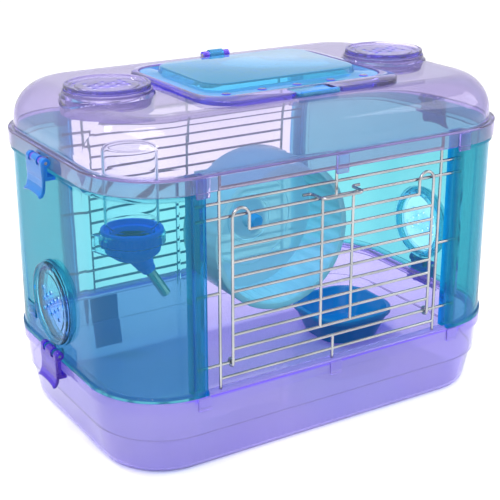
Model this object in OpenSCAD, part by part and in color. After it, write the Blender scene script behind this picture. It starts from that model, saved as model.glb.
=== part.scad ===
// Small-pet cage: a clear moulded tray, two coloured end shells, wire fronts,
// a domed roof with a hatch, an exercise wheel, a water bottle and a food bowl.
// The origin is the centre of the tray's flat base. +X is the right end, -Y the door side.

/* [Overall] */
// Length over the two end shells
cage_l = 334; // [310:1:380]
// Depth over the end shells
cage_w = 218; // [204:1:260]
// Radius of the big upright corners
corner_r = 54; // [50:1:58]
// Height of the tray
tray_h = 60; // [50:1:80]
// Height of the clear wall between the tray and the roof band
wall_h = 144; // [120:1:180]
// Height of the roof from the bottom of its band to its flat top
roof_h = 45; // [42:1:60]
// Wall of the tray and of the roof
wall_t = 2.2; // [1.8:0.1:3]
// Wall of the end shells
shell_t = 2.5; // [2:0.1:3]

/* [Rims] */
// How far the tray's lip stands proud of the end shells
lip_out = 1.5; // [1:0.1:2]
// Height of the tray's lip
lip_h = 8; // [6:0.5:10]
// Width of the flange on top of the tray, measured inwards
seat_w = 8.5; // [8:0.5:10]
// Height of the roof's band
band_h = 12; // [10:0.5:14]
// Thickness of the roof's band
band_t = 2.4; // [2:0.1:3]
// Height of the level step round the tray
step_z = 29; // [24:1:34]
// Radius of the roof's long rounded edge
dome_r = 28; // [24:1:29]

/* [Grilles] */
// Diameter of the wire
wire_d = 2.2; // [1.8:0.1:2.4]
// Spacing of the level wires
wire_gap = 10.5; // [9.5:0.1:10.7]
// Height of the lowest level wire above the tray
first_wire = 7.8; // [7:0.1:9]
// Distance from a post's middle to the grille's upright side wire
side_gap = 16.5; // [14:0.5:26]
// Distance from that side wire to the door's side rod
door_margin = 8.5; // [8:0.5:30]
// Half the distance between the door's two middle uprights
door_mid_x = 13; // [10:0.5:16]

/* [Ports and vents] */
// Diameter of the tube port's hole
port_d = 55; // [46:0.5:58]
// How far a cap's flange laps past its hole
cap_lap = 3; // [2:0.5:4]
// Height of the end ports' centres above the tray
port_z = 43; // [40:1:60]
// Distance of the roof vents' centres from the ends
vent_end = 47; // [45:1:50]
// Diameter of the small air holes
air_d = 3; // [2:0.1:4]

/* [Hatch] */
// Space between the hatch flap and a vent's collar
flap_side = 12.5; // [8:0.5:24]
// Distance from the front face to the flap's front edge
flap_front = 45; // [45:1:55]
// Distance from the back face to the flap's back edge
flap_back = 55; // [42:1:60]
// Width of the finger tongue
tongue_w = 31; // [20:1:40]
// Gap all round the flap
flap_gap = 0.7; // [0.5:0.1:1]

/* [Clips] */
// Width of a rim clip
clip_w = 28; // [22:1:34]
// Length of a rim clip below its pin
clip_l = 22; // [20:1:30]
// Diameter of the clips' pins
clip_pin_d = 2.4; // [2:0.1:3]

/* [Wheel] */
// Radius of the exercise wheel
wheel_r = 62; // [50:1:64]
// Width of the wheel's running track
wheel_w = 52; // [40:1:56]
// Distance from the wheel's back to the plate that it hangs on
axle_reach = 52; // [40:1:60]
// Sideways place of the wheel's axle
wheel_x = 27; // [10:1:30]
// Height of the wheel's axle above the tray
wheel_z = 57; // [54:1:70]
// Diameter of the wheel's axle
axle_d = 4; // [3:0.1:5]

/* [Bottle and bowl] */
// Diameter of the bottle's body
bottle_d = 36.5; // [32:0.5:37]
// How far the screw cap stands out past the bottle's body
cap_skirt = 1.25; // [1:0.05:1.6]
// Length of the steel drinking tube
tube_l = 38; // [28:1:42]
// Tilt of the drinking tube
tube_tilt = 32; // [20:1:40]
// Distance across the food bowl's rim
bowl_d = 76; // [60:1:78]
// Height of the food bowl
bowl_h = 25; // [20:1:30]

/* [Clearances] */
// Gap between pieces that move past each other
move_gap = 0.35; // [0.3:0.05:0.5]
// Gap between pieces that sit together
fit_gap = 0.3; // [0.2:0.05:0.4]
// Clearance all round a pin in its bore
pin_gap = 0.08; // [0.05:0.01:0.1]

/* [Hidden] */
$fn = 48;

purple = [0.60, 0.50, 0.86, 0.55];
teal = [0.25, 0.68, 0.75, 0.55];
wheel_blue = [0.42, 0.70, 0.90, 0.6];
deep_blue = [0.08, 0.20, 0.62];
steel = [0.78, 0.79, 0.80];
clear = [0.9, 0.95, 1, 0.4];
rubber = [0.15, 0.15, 0.17];

// Heights of the stacked parts
rim_z = tray_h;
band_z = rim_z + wall_h;
ledge_z = band_z + band_h;
roof_z = band_z + roof_h;
shell_top = ledge_z - wall_t - fit_gap;

// The tray: insets are measured inwards from the end shells' outer faces
tray_inset = 0.5;
step_inset = 3.5;
step_w = 1.5;
foot_inset = 9;
foot_r = 8;
seat_t = 2.5;
tray_wall_top = rim_z - lip_h;

// Blocks on both rims stand in front of the posts and the grille's middle wire
block_w = 10;
block_t = 2.2;
block_proud = 1.6;

// The roof: the band stands off the shell and the dome's foot is set in
band_gap = 0.6;
dome_inset = 1.5;
dome_foot = ledge_z + (roof_h - band_h - dome_r);
band_face = band_gap + band_t;

// The end shells: a square post at each free edge has a slot for a grille's wire ends
post_w = 10;
post_x = cage_l / 2 - corner_r - 3;
post_wall = 2.5;
wire_end = post_wall + 0.7;
bead_step = 1;
post_in = post_x - post_w / 2;
post_out = post_x + post_w / 2;
slot_d = wire_d + 0.5;
slot_wall = 2;
grille_y = cage_w / 2 - slot_wall - slot_d / 2;
bead_h = 3.5;
block_x = [-post_x + 1, 0, post_x - 1];

// The level wires and the door
wire_r = wire_d / 2;
wire_count = floor((wall_h + 2 - first_wire) / wire_gap) + 1;
function wire_z(k) = rim_z + first_wire + k * wire_gap;
door_foot = 1;
door_head = wire_count - 3;
stub_rows = [1, floor(wire_count / 2) - 1, wire_count - 3, wire_count - 2];
hinge_z = wire_z(door_foot);
curl_r = 2 * wire_r + move_gap;
door_y = -(grille_y + curl_r);
grille_x = post_x - side_gap;
grille_foot_z = rim_z + fit_gap;
grille_head_z = shell_top - 0.5;
door_x = grille_x - door_margin;
door_top_wire = door_head - 1;
loop_r = 6.5;
loop_z = wire_z(door_head) - 1;
curl_turn = 300;

// The spring catch lies on the grille's wire above the door
latch_z = wire_z(door_head) + 2 * wire_r + move_gap;
latch_reach = 7;
latch_back = 2.5;
latch_bend = 4;
latch_hook = 3;
latch_end = 4;

// The ports and vents: each hole has a raised collar that its cap sits on
neck_gap = 0.25;
neck_d = port_d - 2 * neck_gap;
neck_l = 7;
neck_t = 2;
cap_d = port_d + 2 * cap_lap;
cap_t = 2;
cap_bead = 1.4;
collar_d = cap_d + 2;
collar_proud = 1.8;
port_h = rim_z + port_z;
vent_x = cage_l / 2 - vent_end;
vent_top = roof_z + 4;
vent_foot = dome_foot + dome_r / 2;
air_gap = [8, 6.5];

// The hatch: a flap with a raised middle lies on a ledge inside the roof's frame
flap_l = 2 * (vent_x - collar_d / 2 - flap_side);
flap_w = cage_w - flap_front - flap_back;
flap_y = (flap_front - flap_back) / 2;
flap_r = 20;
flap_t = 2;
flap_z = roof_z + 2 * fit_gap;
ledge_w = 7;
plateau_l = flap_l - 24;
plateau_w = flap_w - 30;
plateau_y = flap_y + 3;
plateau_r = 16;
plateau_z = roof_z + 7.5;
hatch_pin_y = flap_y + flap_w / 2 + 4;
hatch_pin_z = roof_z + 5.5;
hatch_pin_d = 3;
knuckle_r = 4;
knuckle_w = 12;
knuckle_gap = 0.5;
hatch_ear_w = 5;
hatch_ear_r = 3;
frame_w = 5;
frame_front = 17;
frame_h = 3.5;
tongue_l = 20.5;

// The clips: a pin stands off each rim, and a hook reaches under the rim below it
pin_off = 3.8;
roof_pin_z = band_z + band_h / 2;
roof_pin_x = cage_l / 2 + band_face + pin_off;
tray_pin_z = rim_z + bead_h + 3.5;
tray_pin_x = cage_l / 2 + lip_out + pin_off;
barrel_r = 3.4;
clip_t = 2.4;
ear_r = 2.8;
ear_w = 4;
ear_y = 7;
ear_gap = 0.4;
roof_hook = roof_pin_z - (band_z - bead_h);
tray_hook = tray_pin_z - tray_wall_top;
roof_hook_in = pin_off + band_face - fit_gap;
tray_hook_in = pin_off + 1;
hook_t = 2.6;
cheek_t = 2.5;
lip_r = 3.5;

// The wheel
axle_z = rim_z + wheel_z;
bracket_y = grille_y - wire_r - fit_gap;
bracket_w = 44;
bracket_h = 60;
bracket_t = 3;
wheel_back = bracket_y - axle_reach;
drum_t = 2;
roll_l = 3;
roll_w = 5;
hub_r = 16.5;
hub_l = 8;
boss_r = 7;
boss_l = 8;
boss_y = wheel_back + hub_l + move_gap;
axle_in = 19;
keeper_y = wheel_back - boss_l - move_gap;
keeper_l = 6;
keeper_r = 6;
keeper_nose = 2;
rung_count = 36;
rung = [2, 1.6, wheel_w - 3];
gusset = [2.5, 20, 18];
hook_w = 4;
hook_x = [-12, 12];

// The bottle hangs by its cap's rim in a ring on the front left corner
cap_r = bottle_d / 2 + cap_skirt;
cap_h = 21;
cap_rim = [cap_r + 1.5, 3];
cap_taper = 9;
neck_r = bottle_d / 2 - 3;
neck_in = 8;
body_h = 56;
body_t = 1.2;
body_round = 6;
bottle_top = dome_foot + 8;
cap_z = bottle_top - body_h - cap_h;
bottle_turn = 21.4;
ring_r = cap_r + fit_gap + 2.2;
ring_h = 6;
arm_l = 5;
bottle_off = corner_r - shell_t - ring_r - arm_l;
bottle_x = -(cage_l / 2 - corner_r) - bottle_off * cos(bottle_turn);
bottle_y = -(cage_w / 2 - corner_r) - bottle_off * sin(bottle_turn);
seal_t = 2.2;
seal_hole_r = 12.5;

// The drinking tube's tip is turned in and holds the ball
cone_l = 16;
cone_r = [9, 5];
tube_d = 7;
tube_t = 0.7;
tip_z = tube_l + 1;
tip_hole = 4.6;
tip_l = 1.1;
ball_d = 5.2;
ball_z = tip_z - 1.4;

// The bowl stands on the tray's floor near the right end
bowl_x = cage_l / 2 - bowl_d / 2 - 16;
bowl_y = cage_w / 2 - bowl_d / 2 - 35;
bowl_z = wall_t + fit_gap;
bowl_rim_h = 4;
bowl_taper = 20;
bowl_t = 3.5;

// ---------- helpers ----------

// A flat rounded rectangle, centred
module rounded(l, w, r) {
    square([l - 2 * r, w], center = true);
    square([l, w - 2 * r], center = true);
    for (x = [-1, 1], y = [-1, 1])
        translate([x * (l / 2 - r), y * (w / 2 - r)]) circle(r);
}

// Carries a flat profile round the cage's rounded plan. The profile's x is the
// distance from a corner's centre, so x = corner_r lies on the shells' outer face.
module round_the_cage() {
    sx = cage_l / 2 - corner_r;
    sy = cage_w / 2 - corner_r;
    for (q = [[sx, sy, 0], [-sx, sy, 90], [-sx, -sy, 180], [sx, -sy, 270]])
        translate([q[0], q[1], 0]) rotate([0, 0, q[2]]) rotate_extrude(angle = 90) children();
    for (a = [0, 180])
        rotate([0, 0, a]) translate([-sx, sy, 0]) rotate([90, 0, 90])
            linear_extrude(2 * sx) children();
    for (a = [90, 270])
        rotate([0, 0, a]) translate([-sy, sx, 0]) rotate([90, 0, 90])
            linear_extrude(2 * sy) children();
}

// A solid slab that fills the plan inside the corner centres
module middle_slab(z, h) {
    translate([-(cage_l / 2 - corner_r), -(cage_w / 2 - corner_r), z])
        cube([cage_l - 2 * corner_r, cage_w - 2 * corner_r, h]);
}

// A straight wire between two points
module wire(a, b, d = wire_d) {
    v = b - a;
    n = norm(v);
    translate(a) rotate([0, acos(v[2] / n), atan2(v[1], v[0])]) cylinder(d = d, h = n, $fn = 24);
}

// Mirrors its children to the other end of the cage as well
module both_ends() {
    children();
    mirror([1, 0, 0]) children();
}

// ---------- tray ----------

module tray_profile() {
    wall_x = corner_r - tray_inset;
    step_x = corner_r - step_inset;
    foot_x = corner_r - foot_inset;
    round_x = foot_x - foot_r;
    seat_x = corner_r - seat_w;
    difference() {
        union() {
            translate([0, tray_wall_top]) square([corner_r + lip_out, lip_h]);
            polygon([[0, step_z], [step_x + step_w, step_z],
                [wall_x, tray_wall_top], [0, tray_wall_top]]);
            polygon([[0, 0], [round_x, 0], [foot_x, foot_r], [step_x, step_z], [0, step_z]]);
            translate([round_x, foot_r]) circle(foot_r);
        }
        polygon([[-1, foot_r], [foot_x - wall_t, foot_r], [step_x - wall_t, step_z],
            [step_x + step_w - wall_t, step_z + 0.01], [wall_x - wall_t, tray_wall_top],
            [wall_x - wall_t, rim_z - seat_t], [seat_x, rim_z - seat_t],
            [seat_x, rim_z + 1], [-1, rim_z + 1]]);
        translate([-1, wall_t]) square([round_x + 1, foot_r]);
        translate([round_x, foot_r]) circle(foot_r - wall_t);
    }
}

// The blocks along the front and back of a rim whose face stands proud of the shells
module rim_blocks(z, h, rim_proud) {
    for (x = block_x, a = [0, 180])
        rotate([0, 0, a])
            translate([x - block_w / 2, -cage_w / 2 - rim_proud - block_proud, z])
                cube([block_w, block_t, h]);
}

module tray() {
    color(purple) {
        round_the_cage() tray_profile();
        middle_slab(0, wall_t);
        rim_blocks(rim_z - lip_h - 2, lip_h + 2, lip_out);
    }
}

// ---------- end shells ----------

// Cuts away everything to the right of the left end's posts
module left_end_only() {
    difference() {
        children();
        translate([-post_in, -cage_w]) square([cage_l + post_in, 2 * cage_w]);
    }
}

module shell_plan() {
    difference() {
        union() {
            left_end_only() difference() {
                rounded(cage_l, cage_w, corner_r);
                rounded(cage_l - 2 * shell_t, cage_w - 2 * shell_t, corner_r - shell_t);
            }
            for (y = [cage_w / 2 - post_w, -cage_w / 2])
                translate([-post_out, y]) square(post_w);
        }
        for (y = [grille_y, -grille_y])
            translate([-post_out + post_wall, y - slot_d / 2]) square([post_w, slot_d]);
    }
}

module bead_plan(proud) {
    left_end_only() difference() {
        rounded(cage_l + 2 * proud, cage_w + 2 * proud, corner_r + proud);
        rounded(cage_l - 1, cage_w - 1, corner_r - 0.5);
    }
}

// An ear round a clip's pin, reaching back to the wall it stands on
module clip_ear(reach) {
    rotate([90, 0, 0]) cylinder(r = ear_r, h = ear_w, center = true);
    translate([0, -ear_w / 2, -ear_r]) cube([reach, ear_w, 2 * ear_r]);
}

// A hole along Y through everything that a clip's pin passes
module clip_pin_hole(d) {
    rotate([90, 0, 0]) cylinder(d = d, h = 2 * clip_w, center = true);
}

module left_end_shell() {
    color(teal) difference() {
        union() {
            translate([0, 0, rim_z]) linear_extrude(shell_top - rim_z) shell_plan();
            translate([0, 0, rim_z]) linear_extrude(bead_h) bead_plan(lip_out);
            translate([0, 0, band_z - bead_h]) linear_extrude(bead_h)
                bead_plan(band_face - bead_step);
            // collar round the tube port
            translate([-cage_l / 2 - collar_proud, 0, port_h]) rotate([0, 90, 0])
                cylinder(d = collar_d, h = collar_proud + shell_t + 1);
            for (y = [-ear_y, ear_y]) translate([-tray_pin_x, y, tray_pin_z])
                clip_ear(tray_pin_x - cage_l / 2 + 1);
        }
        translate([-cage_l, 0, port_h]) rotate([0, 90, 0]) cylinder(d = port_d, h = cage_l);
        translate([-tray_pin_x, 0, tray_pin_z]) clip_pin_hole(clip_pin_d);
    }
}
module right_end_shell() { mirror([1, 0, 0]) left_end_shell(); }

// ---------- wire grilles ----------

// What the front and the back grille share: side wires and the stubs that end in the posts
module grille_sides(y) {
    for (s = [-1, 1]) {
        wire([s * grille_x, y, grille_foot_z], [s * grille_x, y, grille_head_z]);
        for (k = stub_rows)
            wire([s * grille_x, y, wire_z(k)], [s * (post_out - wire_end), y, wire_z(k)]);
    }
}

module level_wire(y, k) {
    wire([-grille_x, y, wire_z(k)], [grille_x, y, wire_z(k)]);
}

module front_grille() {
    y = -grille_y;
    color(steel) {
        grille_sides(y);
        for (k = [0:door_foot]) level_wire(y, k);
        for (k = [door_head:wire_count - 1]) level_wire(y, k);
        wire([0, y, grille_foot_z], [0, y, wire_z(door_foot)]);
        wire([0, y, wire_z(door_head)], [0, y, grille_head_z]);
    }
}

module back_grille() {
    y = grille_y;
    color(steel) {
        grille_sides(y);
        for (k = [0:wire_count - 1]) level_wire(y, k);
        wire([0, y, grille_foot_z], [0, y, grille_head_z]);
    }
}

// ---------- door ----------

// A quarter, half or longer turn of wire, starting on its own +X axis
module wire_bend(r, turn, start = 0) {
    rotate_extrude(angle = turn, start = start) translate([r, 0]) circle(r = wire_r, $fn = 24);
}

// A side rod: it curls round the grille's wire at the foot and turns over at the head
module door_side() {
    inner_x = -door_x + 2 * loop_r;
    wire([-door_x, door_y, hinge_z], [-door_x, door_y, loop_z]);
    translate([-door_x + loop_r, door_y, loop_z]) rotate([90, 0, 0]) wire_bend(loop_r, 180);
    wire([inner_x, door_y, wire_z(door_top_wire)], [inner_x, door_y, loop_z]);
    translate([-door_x, -grille_y, hinge_z]) rotate([90, 0, 90])
        wire_bend(curl_r, curl_turn, 180);
}

module door_frame() {
    top_x = door_x - 2 * loop_r;
    color(steel) {
        both_ends() door_side();
        for (k = [door_foot + 1:door_top_wire - 1])
            wire([-door_x, door_y, wire_z(k)], [door_x, door_y, wire_z(k)]);
        wire([-top_x, door_y, wire_z(door_top_wire)], [top_x, door_y, wire_z(door_top_wire)]);
        for (x = [-door_mid_x, door_mid_x])
            wire([x, door_y, wire_z(door_foot + 1)], [x, door_y, wire_z(door_head) + wire_r]);
    }
}

// The spring catch: a bow that stands out in front and two ends that rest over the grille
module door_latch() {
    front = door_y - latch_reach;
    back = -grille_y + latch_back;
    side = door_mid_x + latch_bend;
    hook = side + latch_hook;
    color(steel) translate([0, 0, latch_z]) {
        wire([-door_mid_x, front, 0], [door_mid_x, front, 0]);
        both_ends() {
            translate([-door_mid_x, front + latch_bend, 0]) wire_bend(latch_bend, 90, 180);
            wire([-side, front + latch_bend, 0], [-side, back, 0]);
            translate([-hook, back, 0]) wire_bend(latch_hook, 90);
            wire([-hook, back + latch_hook, 0], [-hook - latch_end, back + latch_hook, 0]);
        }
    }
}

// ---------- roof ----------

module dome_profile() {
    wall_x = corner_r - dome_inset;
    round_x = wall_x - dome_r;
    band_x = corner_r + band_gap;
    below = 2 * dome_r;
    difference() {
        union() {
            translate([0, ledge_z - wall_t]) square([band_x + band_t, wall_t]);
            translate([band_x, band_z]) square([band_t, band_h]);
            translate([0, ledge_z - 1]) square([wall_x, dome_foot - ledge_z + 1]);
            translate([0, dome_foot]) square([round_x, dome_r]);
            translate([round_x, dome_foot]) circle(dome_r);
        }
        translate([-1, band_z - below])
            square([wall_x - wall_t + 1, dome_foot - band_z + below]);
        translate([round_x, dome_foot]) circle(dome_r - wall_t);
        translate([-1, dome_foot - 0.01]) square([round_x + 1, dome_r - wall_t + 0.01]);
        translate([0, band_z - below]) square([band_x, below + band_h - wall_t]);
        translate([-dome_r, band_z]) square([dome_r, 2 * roof_h]);
    }
}

// The raised frame round the hatch, with a notch for the flap's tongue
module hatch_frame() {
    back = flap_y + flap_w / 2 + flap_gap;
    front = flap_y - flap_w / 2 - flap_gap;
    l = flap_l + 2 * (flap_gap + frame_w);
    w = back + frame_w - front + frame_front;
    notch_w = tongue_w + 2 * flap_gap;
    cut_h = 20;
    difference() {
        translate([0, front - frame_front + w / 2, roof_z - wall_t]) linear_extrude(frame_h + wall_t)
            rounded(l, w, flap_r + frame_w);
        translate([0, flap_y, roof_z - wall_t - 1]) linear_extrude(cut_h)
            rounded(flap_l + 2 * flap_gap, flap_w + 2 * flap_gap, flap_r + flap_gap);
        translate([-notch_w / 2, front - frame_front - 1, roof_z])
            cube([notch_w, frame_front + 2, cut_h]);
        translate([-knuckle_w / 2 - 1, back - 1, roof_z + 0.2])
            cube([knuckle_w + 2, frame_w + 2, cut_h]);
    }
}

// Two ears that hold the hatch's pin
module hatch_ears() {
    for (x = [-1, 1] * (knuckle_w + hatch_ear_w) / 2 + [-1, 1] * knuckle_gap)
        translate([x, hatch_pin_y, 0]) {
            translate([-hatch_ear_w / 2, -hatch_ear_r, roof_z - 1])
                cube([hatch_ear_w, 2 * hatch_ear_r, hatch_pin_z - roof_z + 1]);
            translate([0, 0, hatch_pin_z]) rotate([0, 90, 0])
                cylinder(r = hatch_ear_r, h = hatch_ear_w, center = true);
        }
}

module hatch_pin_hole(d) {
    translate([0, hatch_pin_y, hatch_pin_z]) rotate([0, 90, 0])
        cylinder(d = d, h = 5 * knuckle_w, center = true);
}

module roof() {
    color(purple) difference() {
        union() {
            round_the_cage() dome_profile();
            middle_slab(roof_z - wall_t, wall_t);
            both_ends() {
                translate([-vent_x, 0, vent_foot]) cylinder(d = collar_d, h = vent_top - vent_foot);
                for (y = [-ear_y, ear_y]) translate([-roof_pin_x, y, roof_pin_z])
                    clip_ear(roof_pin_x - cage_l / 2 - band_gap - 1);
            }
            hatch_frame();
            hatch_ears();
            rim_blocks(band_z - 3, band_h + 1, band_face);
        }
        // the hatch's opening leaves a ledge that the flap rests on
        translate([0, flap_y, dome_foot]) linear_extrude(2 * roof_h)
            rounded(flap_l - 2 * ledge_w, flap_w - 2 * ledge_w, flap_r - ledge_w);
        both_ends() translate([-vent_x, 0, 0]) {
            translate([0, 0, dome_foot]) cylinder(d = port_d, h = 2 * roof_h);
            translate([0, 0, band_z])
                cylinder(d = collar_d - 2 * wall_t, h = vent_top - wall_t - band_z);
        }
        hatch_pin_hole(hatch_pin_d);
        both_ends() translate([-roof_pin_x, 0, roof_pin_z]) clip_pin_hole(clip_pin_d);
    }
}

// ---------- hatch ----------

module hatch_flap() {
    back = flap_y + flap_w / 2;
    tongue_y = flap_y - flap_w / 2 - tongue_l;
    lap = 4;
    color(teal) difference() {
        union() {
            translate([0, flap_y, flap_z]) linear_extrude(flap_t) rounded(flap_l, flap_w, flap_r);
            translate([0, plateau_y, flap_z]) linear_extrude(plateau_z - flap_z)
                rounded(plateau_l, plateau_w, plateau_r);
            // finger tongue with a rounded end
            translate([-tongue_w / 2, tongue_y, flap_z]) cube([tongue_w, tongue_l + lap, flap_t]);
            translate([0, tongue_y, flap_z + flap_t]) rotate([0, 90, 0])
                cylinder(r = flap_t, h = tongue_w, center = true);
            // hinge knuckle
            translate([0, hatch_pin_y, hatch_pin_z]) rotate([0, 90, 0])
                cylinder(r = knuckle_r, h = knuckle_w, center = true);
            translate([-knuckle_w / 2, back - lap, flap_z])
                cube([knuckle_w, hatch_pin_y - back + lap, hatch_pin_z - flap_z]);
        }
        translate([0, plateau_y, flap_z - 1]) linear_extrude(plateau_z - flap_z + 1 - flap_t)
            rounded(plateau_l - 2 * flap_t, plateau_w - 2 * flap_t, plateau_r - flap_t);
        hatch_pin_hole(hatch_pin_d + 2 * pin_gap);
    }
}

module hatch_pin() {
    color(steel) translate([0, hatch_pin_y, hatch_pin_z]) rotate([0, 90, 0])
        cylinder(d = hatch_pin_d, h = knuckle_w + 2 * (knuckle_gap + hatch_ear_w), center = true);
}

// ---------- tube port caps and roof vents ----------

// Five rows of air holes, staggered
function air_holes() = [for (row = [-2:2]) let (n = row % 2 == 0 ? 3 : 2) each
    [for (i = [0:n - 1]) [(i - (n - 1) / 2) * air_gap[0], row * air_gap[1]]]];

// The cap's axis is Z and its flange's inner face is at z = 0
module round_cap() {
    difference() {
        union() {
            cylinder(d = cap_d, h = cap_t);
            translate([0, 0, -neck_l]) cylinder(d = neck_d, h = neck_l + 0.5);
            rotate_extrude() translate([cap_d / 2 - cap_bead, cap_t]) circle(r = cap_bead);
        }
        translate([0, 0, -neck_l - 1]) cylinder(d = neck_d - 2 * neck_t, h = neck_l + 1);
        for (p = air_holes()) translate([p[0], p[1], -1])
            cylinder(d = air_d, h = 2 * cap_t + 2, $fn = 16);
    }
}

module left_port_cap() {
    color(teal) translate([-cage_l / 2 - collar_proud - fit_gap, 0, port_h])
        rotate([0, -90, 0]) round_cap();
}
module right_port_cap() { mirror([1, 0, 0]) left_port_cap(); }

module left_roof_vent() {
    color(purple) translate([-vent_x, 0, vent_top + fit_gap]) rotate([0, 0, 90]) round_cap();
}
module right_roof_vent() { mirror([1, 0, 0]) left_roof_vent(); }

// ---------- rim clips ----------

// The pin's axis is Y at the origin and the clip hangs down its outer side, towards -X
module rim_clip(hook_z, hook_in) {
    plate_l = clip_l - barrel_r;
    curl = lip_r + clip_t;
    difference() {
        union() {
            rotate([90, 0, 0]) cylinder(r = barrel_r, h = clip_w, center = true);
            translate([-barrel_r, -clip_w / 2, -plate_l]) cube([clip_t, clip_w, plate_l]);
            for (y = [-clip_w / 2, clip_w / 2 - cheek_t])
                translate([-barrel_r, y, -hook_z - fit_gap - hook_t])
                    cube([barrel_r + 1, cheek_t, hook_z + fit_gap + hook_t]);
            // hook under the rim below
            translate([-barrel_r, -clip_w / 2, -hook_z - fit_gap - hook_t])
                cube([barrel_r + hook_in, clip_w, hook_t]);
            // turned-out finger lip
            translate([-barrel_r - lip_r, 0, -plate_l]) rotate([-90, 0, 0])
                linear_extrude(clip_w, center = true) intersection() {
                    difference() {
                        circle(curl);
                        circle(lip_r);
                    }
                    square(curl);
                }
        }
        // room for the two ears
        for (y = [-ear_y, ear_y]) translate([0, y, 0]) {
            rotate([90, 0, 0])
                cylinder(r = barrel_r + ear_gap, h = ear_w + 2 * ear_gap, center = true);
            translate([0, -ear_w / 2 - ear_gap, -barrel_r - ear_gap])
                cube([clip_l, ear_w + 2 * ear_gap, 2 * (barrel_r + ear_gap)]);
        }
        clip_pin_hole(clip_pin_d + 2 * pin_gap);
    }
}

module left_roof_clip() {
    color(teal) translate([-roof_pin_x, 0, roof_pin_z]) rim_clip(roof_hook, roof_hook_in);
}
module right_roof_clip() { mirror([1, 0, 0]) left_roof_clip(); }
module left_tray_clip() {
    color(purple) translate([-tray_pin_x, 0, tray_pin_z]) rim_clip(tray_hook, tray_hook_in);
}
module right_tray_clip() { mirror([1, 0, 0]) left_tray_clip(); }

module clip_pins() {
    color(steel) both_ends() for (p = [[roof_pin_x, roof_pin_z], [tray_pin_x, tray_pin_z]])
        translate([-p[0], 0, p[1]]) rotate([90, 0, 0])
            cylinder(d = clip_pin_d, h = clip_w - ear_gap, center = true);
}

// ---------- exercise wheel ----------

// The drum's back is at z = 0 and its open front faces +Z before it is turned
module wheel_drum() {
    color(wheel_blue) translate([wheel_x, wheel_back, axle_z]) rotate([90, 0, 0]) difference() {
        union() {
            difference() {
                cylinder(r = wheel_r, h = wheel_w);
                translate([0, 0, drum_t]) cylinder(r = wheel_r - drum_t, h = wheel_w);
            }
            // rolled front edge
            translate([0, 0, wheel_w - roll_l]) difference() {
                cylinder(r = wheel_r, h = roll_l);
                translate([0, 0, -1]) cylinder(r = wheel_r - roll_w, h = roll_l + 2);
            }
            for (i = [0:rung_count - 1]) rotate([0, 0, i * 360 / rung_count])
                translate([wheel_r - drum_t - rung[0] + 0.6, -rung[1] / 2, 1]) cube(rung);
            translate([0, 0, -hub_l]) cylinder(r = hub_r, h = hub_l + 1);
            cylinder(r = boss_r, h = boss_l);
        }
        translate([0, 0, -hub_l - 1])
            cylinder(d = axle_d + 2 * pin_gap, h = hub_l + boss_l + 2);
    }
}

module wheel_bracket() {
    plate_y = bracket_y - bracket_t;
    color(wheel_blue) difference() {
        union() {
            translate([wheel_x - bracket_w / 2, plate_y, axle_z - bracket_h / 2])
                cube([bracket_w, bracket_t, bracket_h]);
            translate([wheel_x, boss_y, axle_z]) rotate([-90, 0, 0])
                cylinder(r = boss_r, h = bracket_y - boss_y - 1);
            for (a = [45:90:315]) translate([wheel_x, 0, axle_z]) rotate([0, a, 0])
                translate([-gusset[0] / 2, plate_y - gusset[1] + 1, 0]) cube(gusset);
            for (k = hook_rows(), x = hook_x)
                translate([wheel_x + x - hook_w / 2, bracket_y, wire_z(k)]) grille_hook();
        }
        translate([wheel_x, boss_y - 1, axle_z]) rotate([-90, 0, 0])
            cylinder(d = axle_d, h = axle_in + 1);
    }
}

// The two level wires that the bracket hangs on, near its top and its bottom
function hook_rows() = [floor((axle_z - bracket_h / 2 + 4 - wire_z(0)) / wire_gap) + 1,
    floor((axle_z + bracket_h / 2 - 6 - wire_z(0)) / wire_gap)];

// Goes through the grille over a level wire and turns down behind it
module grille_hook() {
    over = wire_r + fit_gap;
    behind = fit_gap + wire_d + fit_gap;
    hook_h = 2.4;
    drop = 3.9;
    translate([0, -1, over]) cube([hook_w, 1 + behind + 2, hook_h]);
    translate([0, behind, over - drop]) cube([hook_w, 2, drop + hook_h]);
}

module wheel_axle() {
    front = keeper_y - keeper_l + 1;
    color(steel) translate([wheel_x, front, axle_z]) rotate([-90, 0, 0])
        cylinder(d = axle_d, h = boss_y + axle_in - front);
}

module wheel_keeper() {
    shank = keeper_l - keeper_nose;
    color(deep_blue) translate([wheel_x, keeper_y, axle_z]) rotate([90, 0, 0]) difference() {
        union() {
            cylinder(r = keeper_r, h = shank);
            translate([0, 0, shank])
                cylinder(r1 = keeper_r, r2 = keeper_r - 1.6, h = keeper_nose);
        }
        translate([0, 0, -1]) cylinder(d = axle_d, h = keeper_l);
    }
}

// ---------- water bottle ----------

module at_bottle(z) {
    translate([bottle_x, bottle_y, z]) children();
}

// The nozzle's axis leans towards +X on its way down
module at_nozzle() {
    at_bottle(cap_z + 2) translate([3, 0, 0]) rotate([0, 180 - tube_tilt, 0]) children();
}

// The corner's centre, turned so that +X points outwards past the bottle
module at_front_left_corner(z) {
    translate([-(cage_l / 2 - corner_r), -(cage_w / 2 - corner_r), z])
        rotate([0, 0, 180 + bottle_turn]) children();
}

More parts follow.
